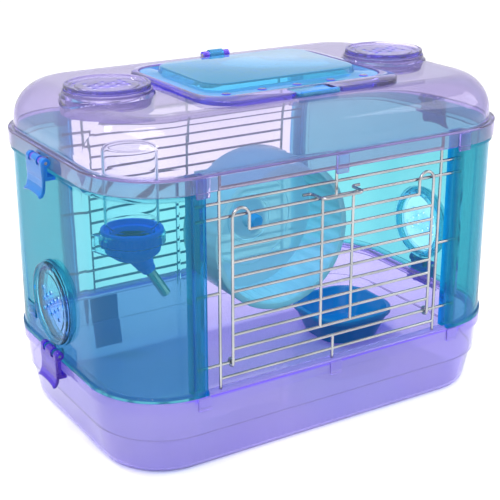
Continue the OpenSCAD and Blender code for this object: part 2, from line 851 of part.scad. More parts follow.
module bottle_holder() {
    z = cap_z + cap_h - cap_rim[1] - fit_gap - ring_h;
    wall_r = corner_r - shell_t - fit_gap;
    pad = [2.2, 2 * ring_h];
    pad_turn = 27;
    arm_w = 10;
    arm_step = 0.5;
    color(teal) difference() {
        union() {
            at_bottle(z) cylinder(r = ring_r, h = ring_h);
            at_front_left_corner(z - ring_h / 2) rotate([0, 0, -pad_turn / 2])
                rotate_extrude(angle = pad_turn) translate([wall_r - pad[0], 0]) square(pad);
            at_front_left_corner(z + arm_step) translate([bottle_off, -arm_w / 2, 0])
                cube([wall_r - pad[0] / 2 - bottle_off, arm_w, ring_h - 2 * arm_step]);
        }
        at_bottle(z - ring_h) cylinder(r = cap_r + fit_gap, h = 3 * ring_h);
    }
}

module bottle_body() {
    r = bottle_d / 2;
    shoulder = neck_in + 4;
    top = body_h + neck_in;
    color(clear) at_bottle(cap_z + cap_h - neck_in) rotate_extrude() difference() {
        union() {
            square([neck_r, top]);
            polygon([[0, neck_in], [neck_r, neck_in], [r, shoulder], [0, shoulder]]);
            translate([0, shoulder]) square([r, top - body_round - shoulder]);
            translate([r - body_round, top - body_round]) circle(body_round);
        }
        translate([-1, -1]) square([neck_r - body_t + 1, top - body_t + 1]);
        translate([-1, shoulder - 1])
            square([r - body_t + 1, top - body_round - shoulder + 1]);
        translate([r - body_round, top - body_round]) circle(body_round - body_t);
        translate([-r, -1]) square([r, 2 * top]);
    }
}

module bottle_cap() {
    nozzle_in = 4;
    well = [12, 5];
    color(deep_blue) difference() {
        union() {
            at_bottle(cap_z) rotate_extrude() {
                translate([0, cap_taper]) square([cap_r, cap_h - cap_taper]);
                translate([0, cap_h - cap_rim[1]]) square(cap_rim);
                polygon([[0, 0], [cap_r - 7, 0], [cap_r - 1.5, cap_taper / 2],
                    [cap_r, cap_taper], [0, cap_taper]]);
            }
            at_nozzle() translate([0, 0, -nozzle_in])
                cylinder(r1 = cone_r[0], r2 = cone_r[1], h = cone_l + nozzle_in);
        }
        at_bottle(cap_z + cap_h - neck_in - seal_t) cylinder(r = neck_r + 0.2, h = cap_h);
        at_bottle(cap_z + cap_h - neck_in / 2) cylinder(r = bottle_d / 2 + fit_gap, h = cap_h);
        at_nozzle() translate([0, 0, -nozzle_in]) cylinder(d = tube_d, h = tube_l);
        at_bottle(cap_z + well[1]) cylinder(r = well[0], h = cap_h);
    }
}

module bottle_seal() {
    color(rubber) at_bottle(cap_z + cap_h - neck_in - seal_t) difference() {
        cylinder(r = neck_r, h = seal_t);
        translate([0, 0, -1]) cylinder(r = seal_hole_r, h = seal_t + 2);
    }
}

module drip_tube() {
    bore = tube_d - 2 * tube_t;
    color(steel) at_nozzle() difference() {
        translate([0, 0, 1]) cylinder(d = tube_d, h = tube_l);
        cylinder(d = bore, h = tip_z - tip_l);
        translate([0, 0, tip_z - tip_l - 0.01])
            cylinder(d1 = bore, d2 = tip_hole, h = tip_l + 0.02);
    }
}

module drip_ball() {
    color(steel) at_nozzle() translate([0, 0, ball_z]) sphere(d = ball_d);
}

// ---------- food bowl ----------

module bowl_plan(d) {
    rounded(d, d, d * 0.34);
}

// A tapering block between two square-rounded plans
module bowl_taper_block(d_low, d_high, z_low, z_high) {
    hull() {
        translate([0, 0, z_low]) linear_extrude(1) bowl_plan(d_low, $fn = 32);
        translate([0, 0, z_high - 1]) linear_extrude(1) bowl_plan(d_high, $fn = 32);
    }
}

module food_bowl() {
    wall = 2 * bowl_t;
    color(deep_blue) translate([bowl_x, bowl_y, bowl_z]) difference() {
        union() {
            bowl_taper_block(bowl_d - bowl_taper, bowl_d - 3, 0, bowl_h - bowl_rim_h + 1);
            translate([0, 0, bowl_h - bowl_rim_h]) linear_extrude(bowl_rim_h) bowl_plan(bowl_d);
        }
        bowl_taper_block(bowl_d - bowl_taper - wall, bowl_d - wall - 1, 3, bowl_h + 1);
    }
}

// ---------- what is drawn ----------

tray();
left_end_shell();
right_end_shell();
front_grille();
back_grille();
roof();
hatch_flap();
hatch_pin();
door_frame();
door_latch();
left_port_cap();
right_port_cap();
left_roof_vent();
right_roof_vent();
left_roof_clip();
right_roof_clip();
left_tray_clip();
right_tray_clip();
clip_pins();
wheel_drum();
wheel_axle();
wheel_keeper();
wheel_bracket();
bottle_holder();
bottle_body();
bottle_cap();
bottle_seal();
drip_tube();
drip_ball();
food_bowl();
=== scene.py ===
# %% [markdown]
# # A small hamster cage
# The cage is moulded from clear tinted plastic. A violet tray stands below, a violet domed roof lies on
# top, and two teal end shells join them. Steel wire fronts fill the long sides. A wheel, a bottle and a
# bowl are inside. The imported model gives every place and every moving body, and this script makes the
# looks around it. Each step first says what the real piece is, how it could be made, and why one way
# was chosen.

# %% Load the frame
import bpy
import bmesh
import math
from mathutils import Matrix, Vector


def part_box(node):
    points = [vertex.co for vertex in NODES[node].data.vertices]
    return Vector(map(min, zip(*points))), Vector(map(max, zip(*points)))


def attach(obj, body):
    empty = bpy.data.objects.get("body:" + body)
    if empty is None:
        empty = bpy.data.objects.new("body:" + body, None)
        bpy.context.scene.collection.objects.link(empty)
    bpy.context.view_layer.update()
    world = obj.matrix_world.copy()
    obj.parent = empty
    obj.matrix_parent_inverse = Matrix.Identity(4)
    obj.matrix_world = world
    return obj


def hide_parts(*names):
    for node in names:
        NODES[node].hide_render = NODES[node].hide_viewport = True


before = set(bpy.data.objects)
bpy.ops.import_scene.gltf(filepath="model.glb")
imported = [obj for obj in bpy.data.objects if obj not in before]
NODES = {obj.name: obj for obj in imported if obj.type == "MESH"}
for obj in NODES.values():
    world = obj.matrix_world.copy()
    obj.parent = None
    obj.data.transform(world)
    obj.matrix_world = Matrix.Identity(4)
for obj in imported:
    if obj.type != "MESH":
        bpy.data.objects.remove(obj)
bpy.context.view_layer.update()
print("nodes in the frame:", len(NODES))

# %% [markdown]
# ## Studio
# Clear plastic shows whatever stands around it, so the studio is a plain white room: a bright even sky
# and a matt paper floor. The light paths are long, because a ray that looks through the cage crosses
# more than twenty plastic faces.

# %% White room
ROOM_STRENGTH = 1.02

scene = bpy.context.scene
scene.view_settings.view_transform = "Standard"
scene.cycles.max_bounces = 32
scene.cycles.transmission_bounces = 28
scene.cycles.transparent_max_bounces = 32
scene.cycles.caustics_refractive = False
scene.cycles.caustics_reflective = False

world = bpy.data.worlds.new("white room")
scene.world = world
world.use_nodes = True
room = world.node_tree.nodes["Background"]
room.inputs["Color"].default_value = (1, 1, 1, 1)
room.inputs["Strength"].default_value = ROOM_STRENGTH
print("light path bounces:", scene.cycles.max_bounces)

# %% [markdown]
# ### Lamps and camera
# The sky alone would leave the mouldings dull. Four soft lamps add the window-shaped gleams of glossy
# plastic: a key from the front left, one above that lights the inside, a weak fill from the right and a
# small one behind that puts glints on the roof. More lamps would only add noise. The camera stands
# about a metre away with a long lens, so the cage's near end doesn't look swollen.

# %% Lamps
LAMP_TARGET = (0, 0, 0.12)
LAMPS = (("key_lamp", (-0.9, -1.1, 1.5), 0.8, 0.45, 14),
         ("top_lamp", (-0.3, 0.0, 1.5), 0.7, 0.7, 9),
         ("fill_lamp", (1.3, -0.7, 0.9), 0.8, 0.8, 7),
         ("glint_lamp", (-0.6, 0.9, 1.3), 0.3, 0.2, 6))


def aim(obj, target):
    """Turns a lamp or the camera to look at a point."""
    obj.rotation_euler = (Vector(target) - obj.location).to_track_quat("-Z", "Y").to_euler()


def soft_lamp(name, place, width, height, watts):
    """An area lamp that shines on the middle of the cage."""
    data = bpy.data.lights.new(name, "AREA")
    data.shape = "RECTANGLE"
    data.size = width
    data.size_y = height
    data.energy = watts
    lamp = bpy.data.objects.new(name, data)
    scene.collection.objects.link(lamp)
    lamp.location = place
    aim(lamp, LAMP_TARGET)


for lamp_sizes in LAMPS:
    soft_lamp(*lamp_sizes)
print("lamps:", [lamp_sizes[0] for lamp_sizes in LAMPS])

# %% Camera
LENS_MM, SENSOR_MM = 84.84, 36
CAMERA_PLACE = (-0.4594, -0.7316, 0.4287)
CAMERA_TARGET = (-0.0041, 0, 0.1110)

lens = bpy.data.cameras.new("camera")
lens.lens = LENS_MM
lens.sensor_width = SENSOR_MM
camera = bpy.data.objects.new("camera", lens)
scene.collection.objects.link(camera)
scene.camera = camera
camera.location = CAMERA_PLACE
aim(camera, CAMERA_TARGET)
print("camera is", round(camera.location.length, 3), "m from the tray's middle")

# %% [markdown]
# ## Shapes from stacked outlines
# Nearly every moulding here is a rounded rectangle that changes size on its way up: a tray, a dome, a
# hatch, a bowl. It could be a cube with modifiers, but then the corners would not keep the true radius.
# Skinning a stack of outlines keeps every radius and wall thickness, and puts the fillets into the
# shape itself, where they catch the light. A turned piece is the same stack made of circles.

# %% Helpers for the shapes
MM = 0.001
SHARP_ANGLE = math.radians(38)


def piece(name, points, faces):
    """A closed mesh from points in millimetres, smooth except along its sharp edges."""
    mesh = bpy.data.meshes.new(name)
    mesh.from_pydata([tuple(c * MM for c in p) for p in points], [], faces)
    obj = bpy.data.objects.new(name, mesh)
    scene.collection.objects.link(obj)
    work = bmesh.new()
    work.from_mesh(mesh)
    bmesh.ops.recalc_face_normals(work, faces=work.faces)
    work.to_mesh(mesh)
    work.free()
    soften(obj)
    return obj


def soften(obj):
    """Smooth shading, with an edge left sharp where two faces meet at more than the sharp angle."""
    for face in obj.data.polygons:
        face.use_smooth = True
    obj.data.set_sharp_from_angle(angle=SHARP_ANGLE)


def loft(name, rings, ring_round=False):
    """Skins a stack of outlines. ring_round joins the last outline back to the first."""
    count = len(rings[0])
    points = [p for ring in rings for p in ring]
    faces = []
    for k in range(len(rings) - (0 if ring_round else 1)):
        low, high = k * count, (k + 1) % len(rings) * count
        for i in range(count):
            j = (i + 1) % count
            faces.append((low + i, low + j, high + j, high + i))
    if not ring_round:
        faces.append(tuple(reversed(range(count))))
        faces.append(tuple(range(len(points) - count, len(points))))
    return piece(name, points, faces)


def outline(length, width, corner, z, middle=(0, 0), steps=10):
    """A level rounded rectangle."""
    ring = []
    for k, (sx, sy) in enumerate(((1, 1), (-1, 1), (-1, -1), (1, -1))):
        for i in range(steps + 1):
            turn = math.radians(90 * (k + i / steps))
            ring.append((middle[0] + sx * (length / 2 - corner) + corner * math.cos(turn),
                         middle[1] + sy * (width / 2 - corner) + corner * math.sin(turn), z))
    return ring


def circle(radius, z, steps=64):
    """A level circle round the Z axis."""
    return [(radius * math.cos(2 * math.pi * i / steps), radius * math.sin(2 * math.pi * i / steps), z)
            for i in range(steps)]


# %% Helpers for fillets and small slabs
FILLET_REACH = 0.48


def eased(line, radii, steps=4):
    """Rounds the inner points of an open line, each with its own radius. A fillet never takes
    more than about half of the side that it stands on."""
    smooth = [line[0]]
    for before, here, after, radius in zip(line, line[1:], line[2:], radii):
        a, b, c = Vector(before), Vector(here), Vector(after)
        to_a, to_c = a - b, c - b
        if radius <= 0:
            smooth.append(here)
            continue
        half = to_a.angle(to_c) / 2
        cut = min(radius / math.tan(half), FILLET_REACH * to_a.length, FILLET_REACH * to_c.length)
        start, end = b + to_a.normalized() * cut, b + to_c.normalized() * cut
        for i in range(steps + 1):
            t = i / steps
            smooth.append(tuple(start * (1 - t) ** 2 + b * (2 * t * (1 - t)) + end * t ** 2))
    smooth.append(line[-1])
    return smooth


def block(name, low, high, radius=0.6, steps=3):
    """A small slab with every edge rounded."""
    size = [b - a for a, b in zip(low, high)]
    middle = [(a + b) / 2 for a, b in zip(low, high)]
    rings = []
    for side in (-1, 1):
        for i in range(steps + 1):
            turn = math.radians(90 * (i / steps if side < 0 else 1 - i / steps))
            inset = radius * (1 - math.sin(turn))
            z = middle[2] + side * (size[2] / 2 - radius * (1 - math.cos(turn)))
            rings.append(outline(size[0] - 2 * inset, size[1] - 2 * inset, max(radius - inset, 0.05),
                                 z, middle, steps=4))
    return loft(name, rings)


print("edges sharper than", round(math.degrees(SHARP_ANGLE)), "degrees stay sharp")

# %% [markdown]
# ## Cutting and welding
# Where a hole or a boss meets a moulded wall, the two have to be one closed skin: in clear plastic any
# face left inside shows as a ghost line. Modelling each join by hand is exact but slow, so the pieces
# are welded and cut with the Boolean modifier, which is applied at once to leave a plain mesh.

# %% Helpers for cutting and welding
def settle_modifiers(obj):
    """Applies the modifiers, so that the piece is a plain mesh."""
    solved = obj.evaluated_get(bpy.context.evaluated_depsgraph_get())
    mesh = bpy.data.meshes.new_from_object(solved)
    obj.modifiers.clear()
    obj.data = mesh
    soften(obj)


def carve(obj, tools, how="DIFFERENCE"):
    """Cuts the tools out of a piece, or welds them on with UNION."""
    for tool in tools:
        step = obj.modifiers.new(tool.name, "BOOLEAN")
        step.operation = how
        step.solver = "EXACT"
        step.object = tool
    bpy.context.view_layer.update()
    settle_modifiers(obj)
    for tool in tools:
        bpy.data.objects.remove(tool)
    return obj


# %% Helpers for turned pieces and for the other hand
BORE_SIDES = 26
ALONG_X = Matrix.Rotation(math.radians(90), 4, "Y")
ALONG_Y = Matrix.Rotation(math.radians(90), 4, "X")
TO_LEFT = Matrix.Rotation(math.radians(-90), 4, "Y")


def move_to(obj, place, turn=None):
    """Turns a piece about the origin and then sets it down at its place, in millimetres."""
    obj.data.transform(Matrix.Translation(Vector(place) * MM) @ (turn or Matrix.Identity(4)))
    return obj


def turned(name, line, turn=None, place=(0, 0, 0), steps=64, ring_round=False):
    """A turned piece from a line of (radius, height), its axis along Z before it is turned."""
    return move_to(loft(name, [circle(radius, z, steps) for radius, z in line], ring_round), place, turn)


def rod(name, radius, length, place, turn=None, steps=48):
    """A round cutter or boss, centred on its place."""
    return turned(name, [(radius, -length / 2), (radius, length / 2)], turn, place, steps)


def mirrored(obj, name):
    """The other hand of a piece, across the middle of the cage's length."""
    twin = bpy.data.objects.new(name, obj.data.copy())
    scene.collection.objects.link(twin)
    twin.data.transform(Matrix.Scale(-1, 4, (1, 0, 0)))
    twin.data.flip_normals()
    soften(twin)
    return twin


def dress(obj, finish):
    """Gives a piece one finish all over."""
    obj.data.materials.clear()
    obj.data.materials.append(finish)


def settle(obj, body, slot, finish, *stands_for):
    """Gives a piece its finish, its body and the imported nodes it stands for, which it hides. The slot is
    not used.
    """
    dress(obj, finish)
    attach(obj, body)
    if stands_for:
        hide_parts(*stands_for)
    print(f"{obj.name}: {len(obj.data.polygons)} faces on {body}")


print("round bores have", BORE_SIDES, "sides")

# %% [markdown]
# ## Effects that several finishes share
# Real mouldings are never perfectly even. The melt leaves slow waves and a faint drift of colour, and
# handling leaves fine scuffs. Image textures would need files and unwrapping, so each effect is a node
# group in the object's own space: it needs no unwrapping, stays with a piece when it moves, and is
# made once. Each material places the group with its own numbers.

# %% Helpers for the node groups
MIX_SOCKETS = {"FLOAT": (2, 3, 0), "RGBA": (6, 7, 2)}


def place_node(tree, kind, **settings):
    """A shader node with its settings."""
    made = tree.nodes.new("ShaderNode" + kind)
    for setting, value in settings.items():
        setattr(made, setting, value)
    return made


def start_group(name, inputs, outputs):
    """A shader node group with named sockets: each input is (title, kind, first value)."""
    group = bpy.data.node_groups.new(name, "ShaderNodeTree")
    for title, kind, value in inputs:
        socket = group.interface.new_socket(title, in_out="INPUT", socket_type="NodeSocket" + kind)
        socket.default_value = value
    for title, kind in outputs:
        group.interface.new_socket(title, in_out="OUTPUT", socket_type="NodeSocket" + kind)
    return group, group.nodes.new("NodeGroupInput"), group.nodes.new("NodeGroupOutput")


def noise(tree, coords, detail, size=None, size_from=None, roughness=0.5):
    """A noise of fixed size, or one whose size comes from another socket."""
    made = place_node(tree, "TexNoise")
    made.inputs["Detail"].default_value = detail
    made.inputs["Roughness"].default_value = roughness
    tree.links.new(coords, made.inputs["Vector"])
    if size_from is None:
        made.inputs["Scale"].default_value = size
    else:
        tree.links.new(size_from, made.inputs["Scale"])
    return made.outputs["Fac"]


def spread(tree, value, low, high, to_low=0.0, to_high=1.0):
    """Stretches a value from one range to another and holds it there."""
    made = place_node(tree, "MapRange", clamp=True)
    tree.links.new(value, made.inputs["Value"])
    for title, number in (("From Min", low), ("From Max", high), ("To Min", to_low), ("To Max", to_high)):
        made.inputs[title].default_value = number
    return made.outputs["Result"]


def between(tree, factor, first, second, kind="RGBA"):
    """Goes from the first value to the second. A Mix node keeps a set of sockets for each kind."""
    made = place_node(tree, "Mix", data_type=kind)
    first_socket, second_socket, result = MIX_SOCKETS[kind]
    tree.links.new(factor, made.inputs["Factor"])
    tree.links.new(first, made.inputs[first_socket])
    tree.links.new(second, made.inputs[second_socket])
    return made.outputs[result]


def sockets(group):
    """The titles of a group's sockets, for the record."""
    return [socket.name for socket in group.interface.items_tree]


# %% [markdown]
# ### Mould flow
# As the melt fills the mould it swirls, so the tint drifts by a few parts in a hundred and the surface
# is gently wavy. One slow noise gives the drift of colour, and a second gives the height of the waves.

# %% The mould flow group
flow, flow_in, flow_out = start_group(
    "mould flow",
    [("Tint", "Color", (1, 1, 1, 1)), ("Drift Tint", "Color", (0.9, 0.9, 1, 1)), ("Waves", "Float", 18.0)],
    [("Colour", "Color"), ("Height", "Float")])
flow_place = place_node(flow, "TexCoord").outputs["Object"]
flow_bend = place_node(flow, "Mapping")
flow_bend.inputs["Scale"].default_value = (1.0, 1.0, 0.45)
flow.links.new(flow_place, flow_bend.inputs["Vector"])
swirl = noise(flow, flow_bend.outputs["Vector"], 2, size_from=flow_in.outputs["Waves"])
drift = spread(flow, swirl, 0.3, 0.7)
drifted = between(flow, drift, flow_in.outputs["Tint"], flow_in.outputs["Drift Tint"])
flow.links.new(drifted, flow_out.inputs["Colour"])
flow.links.new(noise(flow, flow_place, 1, size_from=flow_in.outputs["Waves"]), flow_out.inputs["Height"])
print("mould flow:", sockets(flow))

# %% [markdown]
# ### Handling scuffs
# Hands, a sponge and sliding parts leave short hairlines in every direction. Two stretched noises,
# cut off high so that only their crests stay, give sparse lines, and a slow one keeps them to worn
# patches. Where a line runs, the finish is duller.

# %% The scuffs group
scuffs, scuffs_in, scuffs_out = start_group(
    "handling scuffs",
    [("Fineness", "Float", 45.0), ("Clean", "Float", 0.03), ("Scuffed", "Float", 0.2)],
    [("Roughness", "Float")])
scuff_place = place_node(scuffs, "TexCoord").outputs["Object"]
crests = []
for stretch, turn in (((1, 14, 3), 0.6), ((12, 1, 4), -0.5)):
    lie = place_node(scuffs, "Mapping")
    lie.inputs["Scale"].default_value = stretch
    lie.inputs["Rotation"].default_value = (turn, turn / 2, turn)
    scuffs.links.new(scuff_place, lie.inputs["Vector"])
    lines = noise(scuffs, lie.outputs["Vector"], 3, size_from=scuffs_in.outputs["Fineness"])
    crests.append(spread(scuffs, lines, 0.66, 0.74))
both = place_node(scuffs, "Math", operation="MAXIMUM")
scuffs.links.new(crests[0], both.inputs[0])
scuffs.links.new(crests[1], both.inputs[1])
worn = spread(scuffs, noise(scuffs, scuff_place, 2, size=14.0), 0.45, 0.65)
mask = place_node(scuffs, "Math", operation="MULTIPLY")
scuffs.links.new(both.outputs[0], mask.inputs[0])
scuffs.links.new(worn, mask.inputs[1])
dulled = between(scuffs, mask.outputs[0], scuffs_in.outputs["Clean"], scuffs_in.outputs["Scuffed"], "FLOAT")
scuffs.links.new(dulled, scuffs_out.inputs["Roughness"])
print("handling scuffs:", sockets(scuffs))

# %% [markdown]
# ### Fine grain
# Rubber, paper and satin plastic have a tooth far smaller than a scuff. A fine noise with some finer
# detail gives its height, and a slow one lets the colour drift between two close shades.

# %% The grain group
grain, grain_in, grain_out = start_group(
    "fine grain",
    [("Shade", "Color", (0.5, 0.5, 0.5, 1)), ("Other Shade", "Color", (0.4, 0.4, 0.4, 1)),
     ("Fineness", "Float", 900.0)],
    [("Colour", "Color"), ("Height", "Float")])
grain_place = place_node(grain, "TexCoord").outputs["Object"]
tooth = noise(grain, grain_place, 4, size_from=grain_in.outputs["Fineness"], roughness=0.6)
patch = spread(grain, noise(grain, grain_place, 3, size=45.0), 0.35, 0.65)
patched = between(grain, patch, grain_in.outputs["Shade"], grain_in.outputs["Other Shade"])
grain.links.new(patched, grain_out.inputs["Colour"])
grain.links.new(tooth, grain_out.inputs["Height"])
print("fine grain:", sockets(grain))

# %% [markdown]
# ### Painted shade and light in the edges
# Light that runs a long way through a rim and comes out again makes the edges of such a cage look like
# drawn lines of strong colour. Here that is painted: a deeper tint as painted shade, and painted light
# given out along the rims and corners. Painting the rims one by one would take a material for each. Instead
# a mask of how far the surface turns outward at each point finds them, and moves a colour from the wall's
# to the edge's. A finish uses it once for its painted edge shade and once for its painted edge emission.

# %% The edge light group
painted_edge_light, painted_edge_in, painted_edge_out = start_group(
    "painted edge light",
    [("Inside", "Color", (0, 0, 0, 1)), ("Edge", "Color", (0, 0, 0.3, 1)),
     ("Start", "Float", 0.53), ("Full", "Float", 0.6)],
    [("Colour", "Color")])
# The mask picks out convex rims and corners for a painted edge shade and painted emitted light.
turned_out = place_node(painted_edge_light, "NewGeometry").outputs["Pointiness"]
painted_edge_mask = place_node(painted_edge_light, "MapRange", interpolation_type="SMOOTHSTEP")
painted_edge_light.links.new(turned_out, painted_edge_mask.inputs["Value"])
painted_edge_light.links.new(painted_edge_in.outputs["Start"], painted_edge_mask.inputs["From Min"])
painted_edge_light.links.new(painted_edge_in.outputs["Full"], painted_edge_mask.inputs["From Max"])
painted_edge_mixed = between(painted_edge_light, painted_edge_mask.outputs["Result"], painted_edge_in.outputs["Inside"],
                     painted_edge_in.outputs["Edge"])
painted_edge_light.links.new(painted_edge_mixed, painted_edge_out.inputs["Colour"])
print("painted edge light:", sockets(painted_edge_light))


# %% Helpers for the materials
def start_material(name):
    """A new material, with its node tree and its shader."""
    made = bpy.data.materials.new(name)
    made.use_nodes = True
    return made, made.node_tree, made.node_tree.nodes["Principled BSDF"]


def place_group(tree, group, **values):
    """Places a shared effect with a material's own values. An underscore stands for a space."""
    made = place_node(tree, "Group", node_tree=group)
    for title, value in values.items():
        made.inputs[title.replace("_", " ")].default_value = value
    return made


def raise_surface(tree, shader, height, depth, strength=0.5):
    """Feeds a height to the shader as a bump of that depth in metres."""
    bump = place_node(tree, "Bump")
    bump.inputs["Strength"].default_value = strength
    bump.inputs["Distance"].default_value = depth
    tree.links.new(height, bump.inputs["Height"])
    tree.links.new(bump.outputs["Normal"], shader.inputs["Normal"])


# %% [markdown]
# ## Clear tinted plastic
# The cage is polystyrene with dye in it, so a thick rim or a wall seen end-on is darker than a thin
# one. A tint on the surface alone would miss that, and a volume alone would leave the inside of the
# cage dark. So both share the colour: the surface is tinted glass with a small cloudy share, and an
# absorption volume takes away each colour at its own rate per metre. The index is set below the real
# 1.6, because the grey mirror of the room would veil so light a tint. Shadows go straight through. The
# dye is a little denser than its strongest loss, so that no colour is taken away completely.

# %% The clear plastic recipe
DYE_MARGIN = 1.05
WALL = 0.0025


def clear_plastic(name, tint, drift_tint, loss, clear_share=0.86, index=1.4, waves=18.0,
                  wave_depth=0.0001, clean=0.03, scuffed=0.12, painted_glow=(0, 0, 0), edge=None):
    """loss: how much red, green and blue the plastic takes away, per metre of depth.
    The emission colour is painted light that the plastic gives out, though it is no lamp. edge: the painted
    edge shade, a deeper tint, and the painted light given out along the edges."""
    made, tree, shader = start_material(name)
    shader.inputs["IOR"].default_value = index
    shader.inputs["Transmission Weight"].default_value = clear_share
    body = place_group(tree, flow, Tint=(*tint, 1), Drift_Tint=(*drift_tint, 1), Waves=waves)
    wear = place_group(tree, scuffs, Clean=clean, Scuffed=scuffed)
    tree.links.new(wear.outputs["Roughness"], shader.inputs["Roughness"])
    raise_surface(tree, shader, body.outputs["Height"], wave_depth)
    # Painted light: an emission colour, though the plastic is no lamp.
    shader.inputs["Emission Color"].default_value = (*painted_glow, 1)
    shader.inputs["Emission Strength"].default_value = 1.0
    colour = body.outputs["Colour"]
    if edge:
        # Painted shade and painted light along the edges: the mask deepens the tint there and adds
        # emission.
        painted_edge_shade, painted_edge_emission = edge
        rim = place_group(tree, painted_edge_light, Edge=(*painted_edge_shade, 1))
        tree.links.new(colour, rim.inputs["Inside"])
        colour = rim.outputs["Colour"]
        painted_edge_emission_mix = place_group(tree, painted_edge_light, Inside=(*painted_glow, 1), Edge=(*painted_edge_emission, 1))
        tree.links.new(painted_edge_emission_mix.outputs["Colour"], shader.inputs["Emission Color"])
    tree.links.new(colour, shader.inputs["Base Color"])
    light_path = place_node(tree, "LightPath")
    straight = place_node(tree, "BsdfTransparent")
    choose = place_node(tree, "MixShader")
    tree.links.new(light_path.outputs["Is Shadow Ray"], choose.inputs[0])
    tree.links.new(shader.outputs[0], choose.inputs[1])
    tree.links.new(straight.outputs[0], choose.inputs[2])
    out = tree.nodes["Material Output"]
    tree.links.new(choose.outputs[0], out.inputs["Surface"])
    density = DYE_MARGIN * max(loss)
    dye = place_node(tree, "VolumeAbsorption")
    dye.inputs["Color"].default_value = (*[1 - part / density for part in loss], 1)
    dye.inputs["Density"].default_value = density
    tree.links.new(dye.outputs[0], out.inputs["Volume"])
    print(f"{name}: a {WALL * 1000} mm wall passes", [round(math.exp(-part * WALL), 2) for part in loss])
    return made


# %% [markdown]
# ### The tinted plastics
# The violet of the tray is a lively dye. Its walls also give out a little painted light of their own, an
# emission, so they look bright even in shade. The roof gives out less of it. The teal takes most of the red
# and gives out some painted light too, and so do the wheel, its hub, the bottle's cap and the bowl. The
# hatch is a bluer teal, and the wheel, the bowl and the bottle's cap are cloudier blues. A material could
# be copied and changed for each, but one recipe with its own numbers for each keeps them a family. The edge
# values are a painted edge shade, a deeper tint, and painted light given out along the edges.

# %% The violet plastics
# Each edge pair is a painted edge shade, a deeper tint, and painted light given out along the edges.
VIOLET_PAINTED_EDGE = ((0.34, 0.22, 0.95), (0.03, 0.01, 0.22))
DEEP_VIOLET_PAINTED_EDGE = ((0.1, 0.03, 0.7), (0.01, 0.0, 0.15))
# The tray and the roof give out painted light, an emission of their own.
tray_violet = clear_plastic("tray_violet", (0.67, 0.62, 0.88), (0.62, 0.57, 0.87), (62, 76, 6),
                            clear_share=0.85, index=1.34, painted_glow=(0.018, 0.016, 0.035), edge=VIOLET_PAINTED_EDGE)
roof_violet = clear_plastic("roof_violet", (0.75, 0.71, 0.80), (0.69, 0.65, 0.76), (80, 92, 16),
                            clear_share=0.92, index=1.3, wave_depth=0.00005, painted_glow=(0.003, 0.002, 0.006),
                            edge=VIOLET_PAINTED_EDGE)
vent_violet = clear_plastic("vent_violet", (0.88, 0.84, 0.95), (0.83, 0.79, 0.93), (70, 80, 10),
                            clear_share=0.92, index=1.18, edge=VIOLET_PAINTED_EDGE)
clip_violet = clear_plastic("clip_violet", (0.20, 0.10, 0.75), (0.16, 0.08, 0.70), (650, 760, 60),
                            clear_share=0.7, index=1.3, edge=DEEP_VIOLET_PAINTED_EDGE)

# %% The teal plastics
# Each edge pair is a painted edge shade, a deeper tint, and painted light given out along the edges.
TEAL_PAINTED_EDGE = ((0.03, 0.36, 0.68), (0.0, 0.04, 0.09))
BLUE_PAINTED_EDGE = ((0.05, 0.40, 0.95), (0.0, 0.08, 0.3))
CLIP_PAINTED_EDGE = ((0.03, 0.25, 0.9), (0.0, 0.03, 0.15))
# The shell gives out painted light, an emission of its own.
shell_teal = clear_plastic("shell_teal", (0.26, 0.62, 0.60), (0.23, 0.60, 0.58), (190, 105, 62),
                           clear_share=1.0, index=1.13, painted_glow=(0.012, 0.055, 0.075), edge=TEAL_PAINTED_EDGE)
port_teal = clear_plastic("port_teal", (0.52, 0.87, 0.90), (0.46, 0.84, 0.88), (200, 80, 40),
                          clear_share=0.95, index=1.12, edge=BLUE_PAINTED_EDGE)
hatch_blue = clear_plastic("hatch_blue", (0.22, 0.67, 0.86), (0.18, 0.63, 0.84), (420, 150, 26),
                           clear_share=0.74, index=1.2, edge=BLUE_PAINTED_EDGE)
clip_blue = clear_plastic("clip_blue", (0.04, 0.36, 0.84), (0.03, 0.31, 0.80), (900, 230, 40),
                          clear_share=0.62, index=1.3, edge=CLIP_PAINTED_EDGE)
holder_teal = clear_plastic("holder_teal", (0.80, 0.96, 1.0), (0.76, 0.93, 1.0), (60, 18, 8),
                            clear_share=1.0, index=1.1)

# %% The blue plastics and the bottle's clear one
# Each edge pair is a painted edge shade, a deeper tint, and painted light given out along the edges.
CAP_PAINTED_EDGE = ((0.01, 0.2, 0.9), (0.0, 0.09, 0.4))
BOWL_PAINTED_EDGE = ((0.06, 0.5, 0.85), (0.0, 0.08, 0.2))
# The wheel, its hub, the cap and the bowl give out painted light, an emission of their own.
wheel_blue = clear_plastic("wheel_blue", (0.41, 0.79, 0.88), (0.36, 0.76, 0.86), (60, 10, 4),
                           clear_share=0.42, index=1.12, clean=0.15, scuffed=0.3,
                           painted_glow=(0.01, 0.025, 0.03))
hub_blue = clear_plastic("hub_blue", (0.06, 0.45, 0.80), (0.05, 0.40, 0.76), (500, 120, 30),
                         clear_share=0.2, clean=0.15, scuffed=0.3, painted_glow=(0.0, 0.015, 0.05))
cap_blue = clear_plastic("cap_blue", (0.006, 0.12, 0.85), (0.005, 0.10, 0.78), (2000, 300, 20),
                         clear_share=0.1, clean=0.15, scuffed=0.3, painted_glow=(0.0, 0.05, 0.27),
                         edge=CAP_PAINTED_EDGE)
bowl_blue = clear_plastic("bowl_blue", (0.012, 0.27, 0.56), (0.008, 0.23, 0.50), (2000, 300, 60),
                          clear_share=0.12, clean=0.12, scuffed=0.3, painted_glow=(0.0, 0.018, 0.09),
                          edge=BOWL_PAINTED_EDGE)
bottle_clear = clear_plastic("bottle_clear", (0.98, 0.99, 1.0), (0.96, 0.97, 1.0), (10, 8, 6),
                             clear_share=1.0, index=1.06, waves=30.0, wave_depth=0.00002)


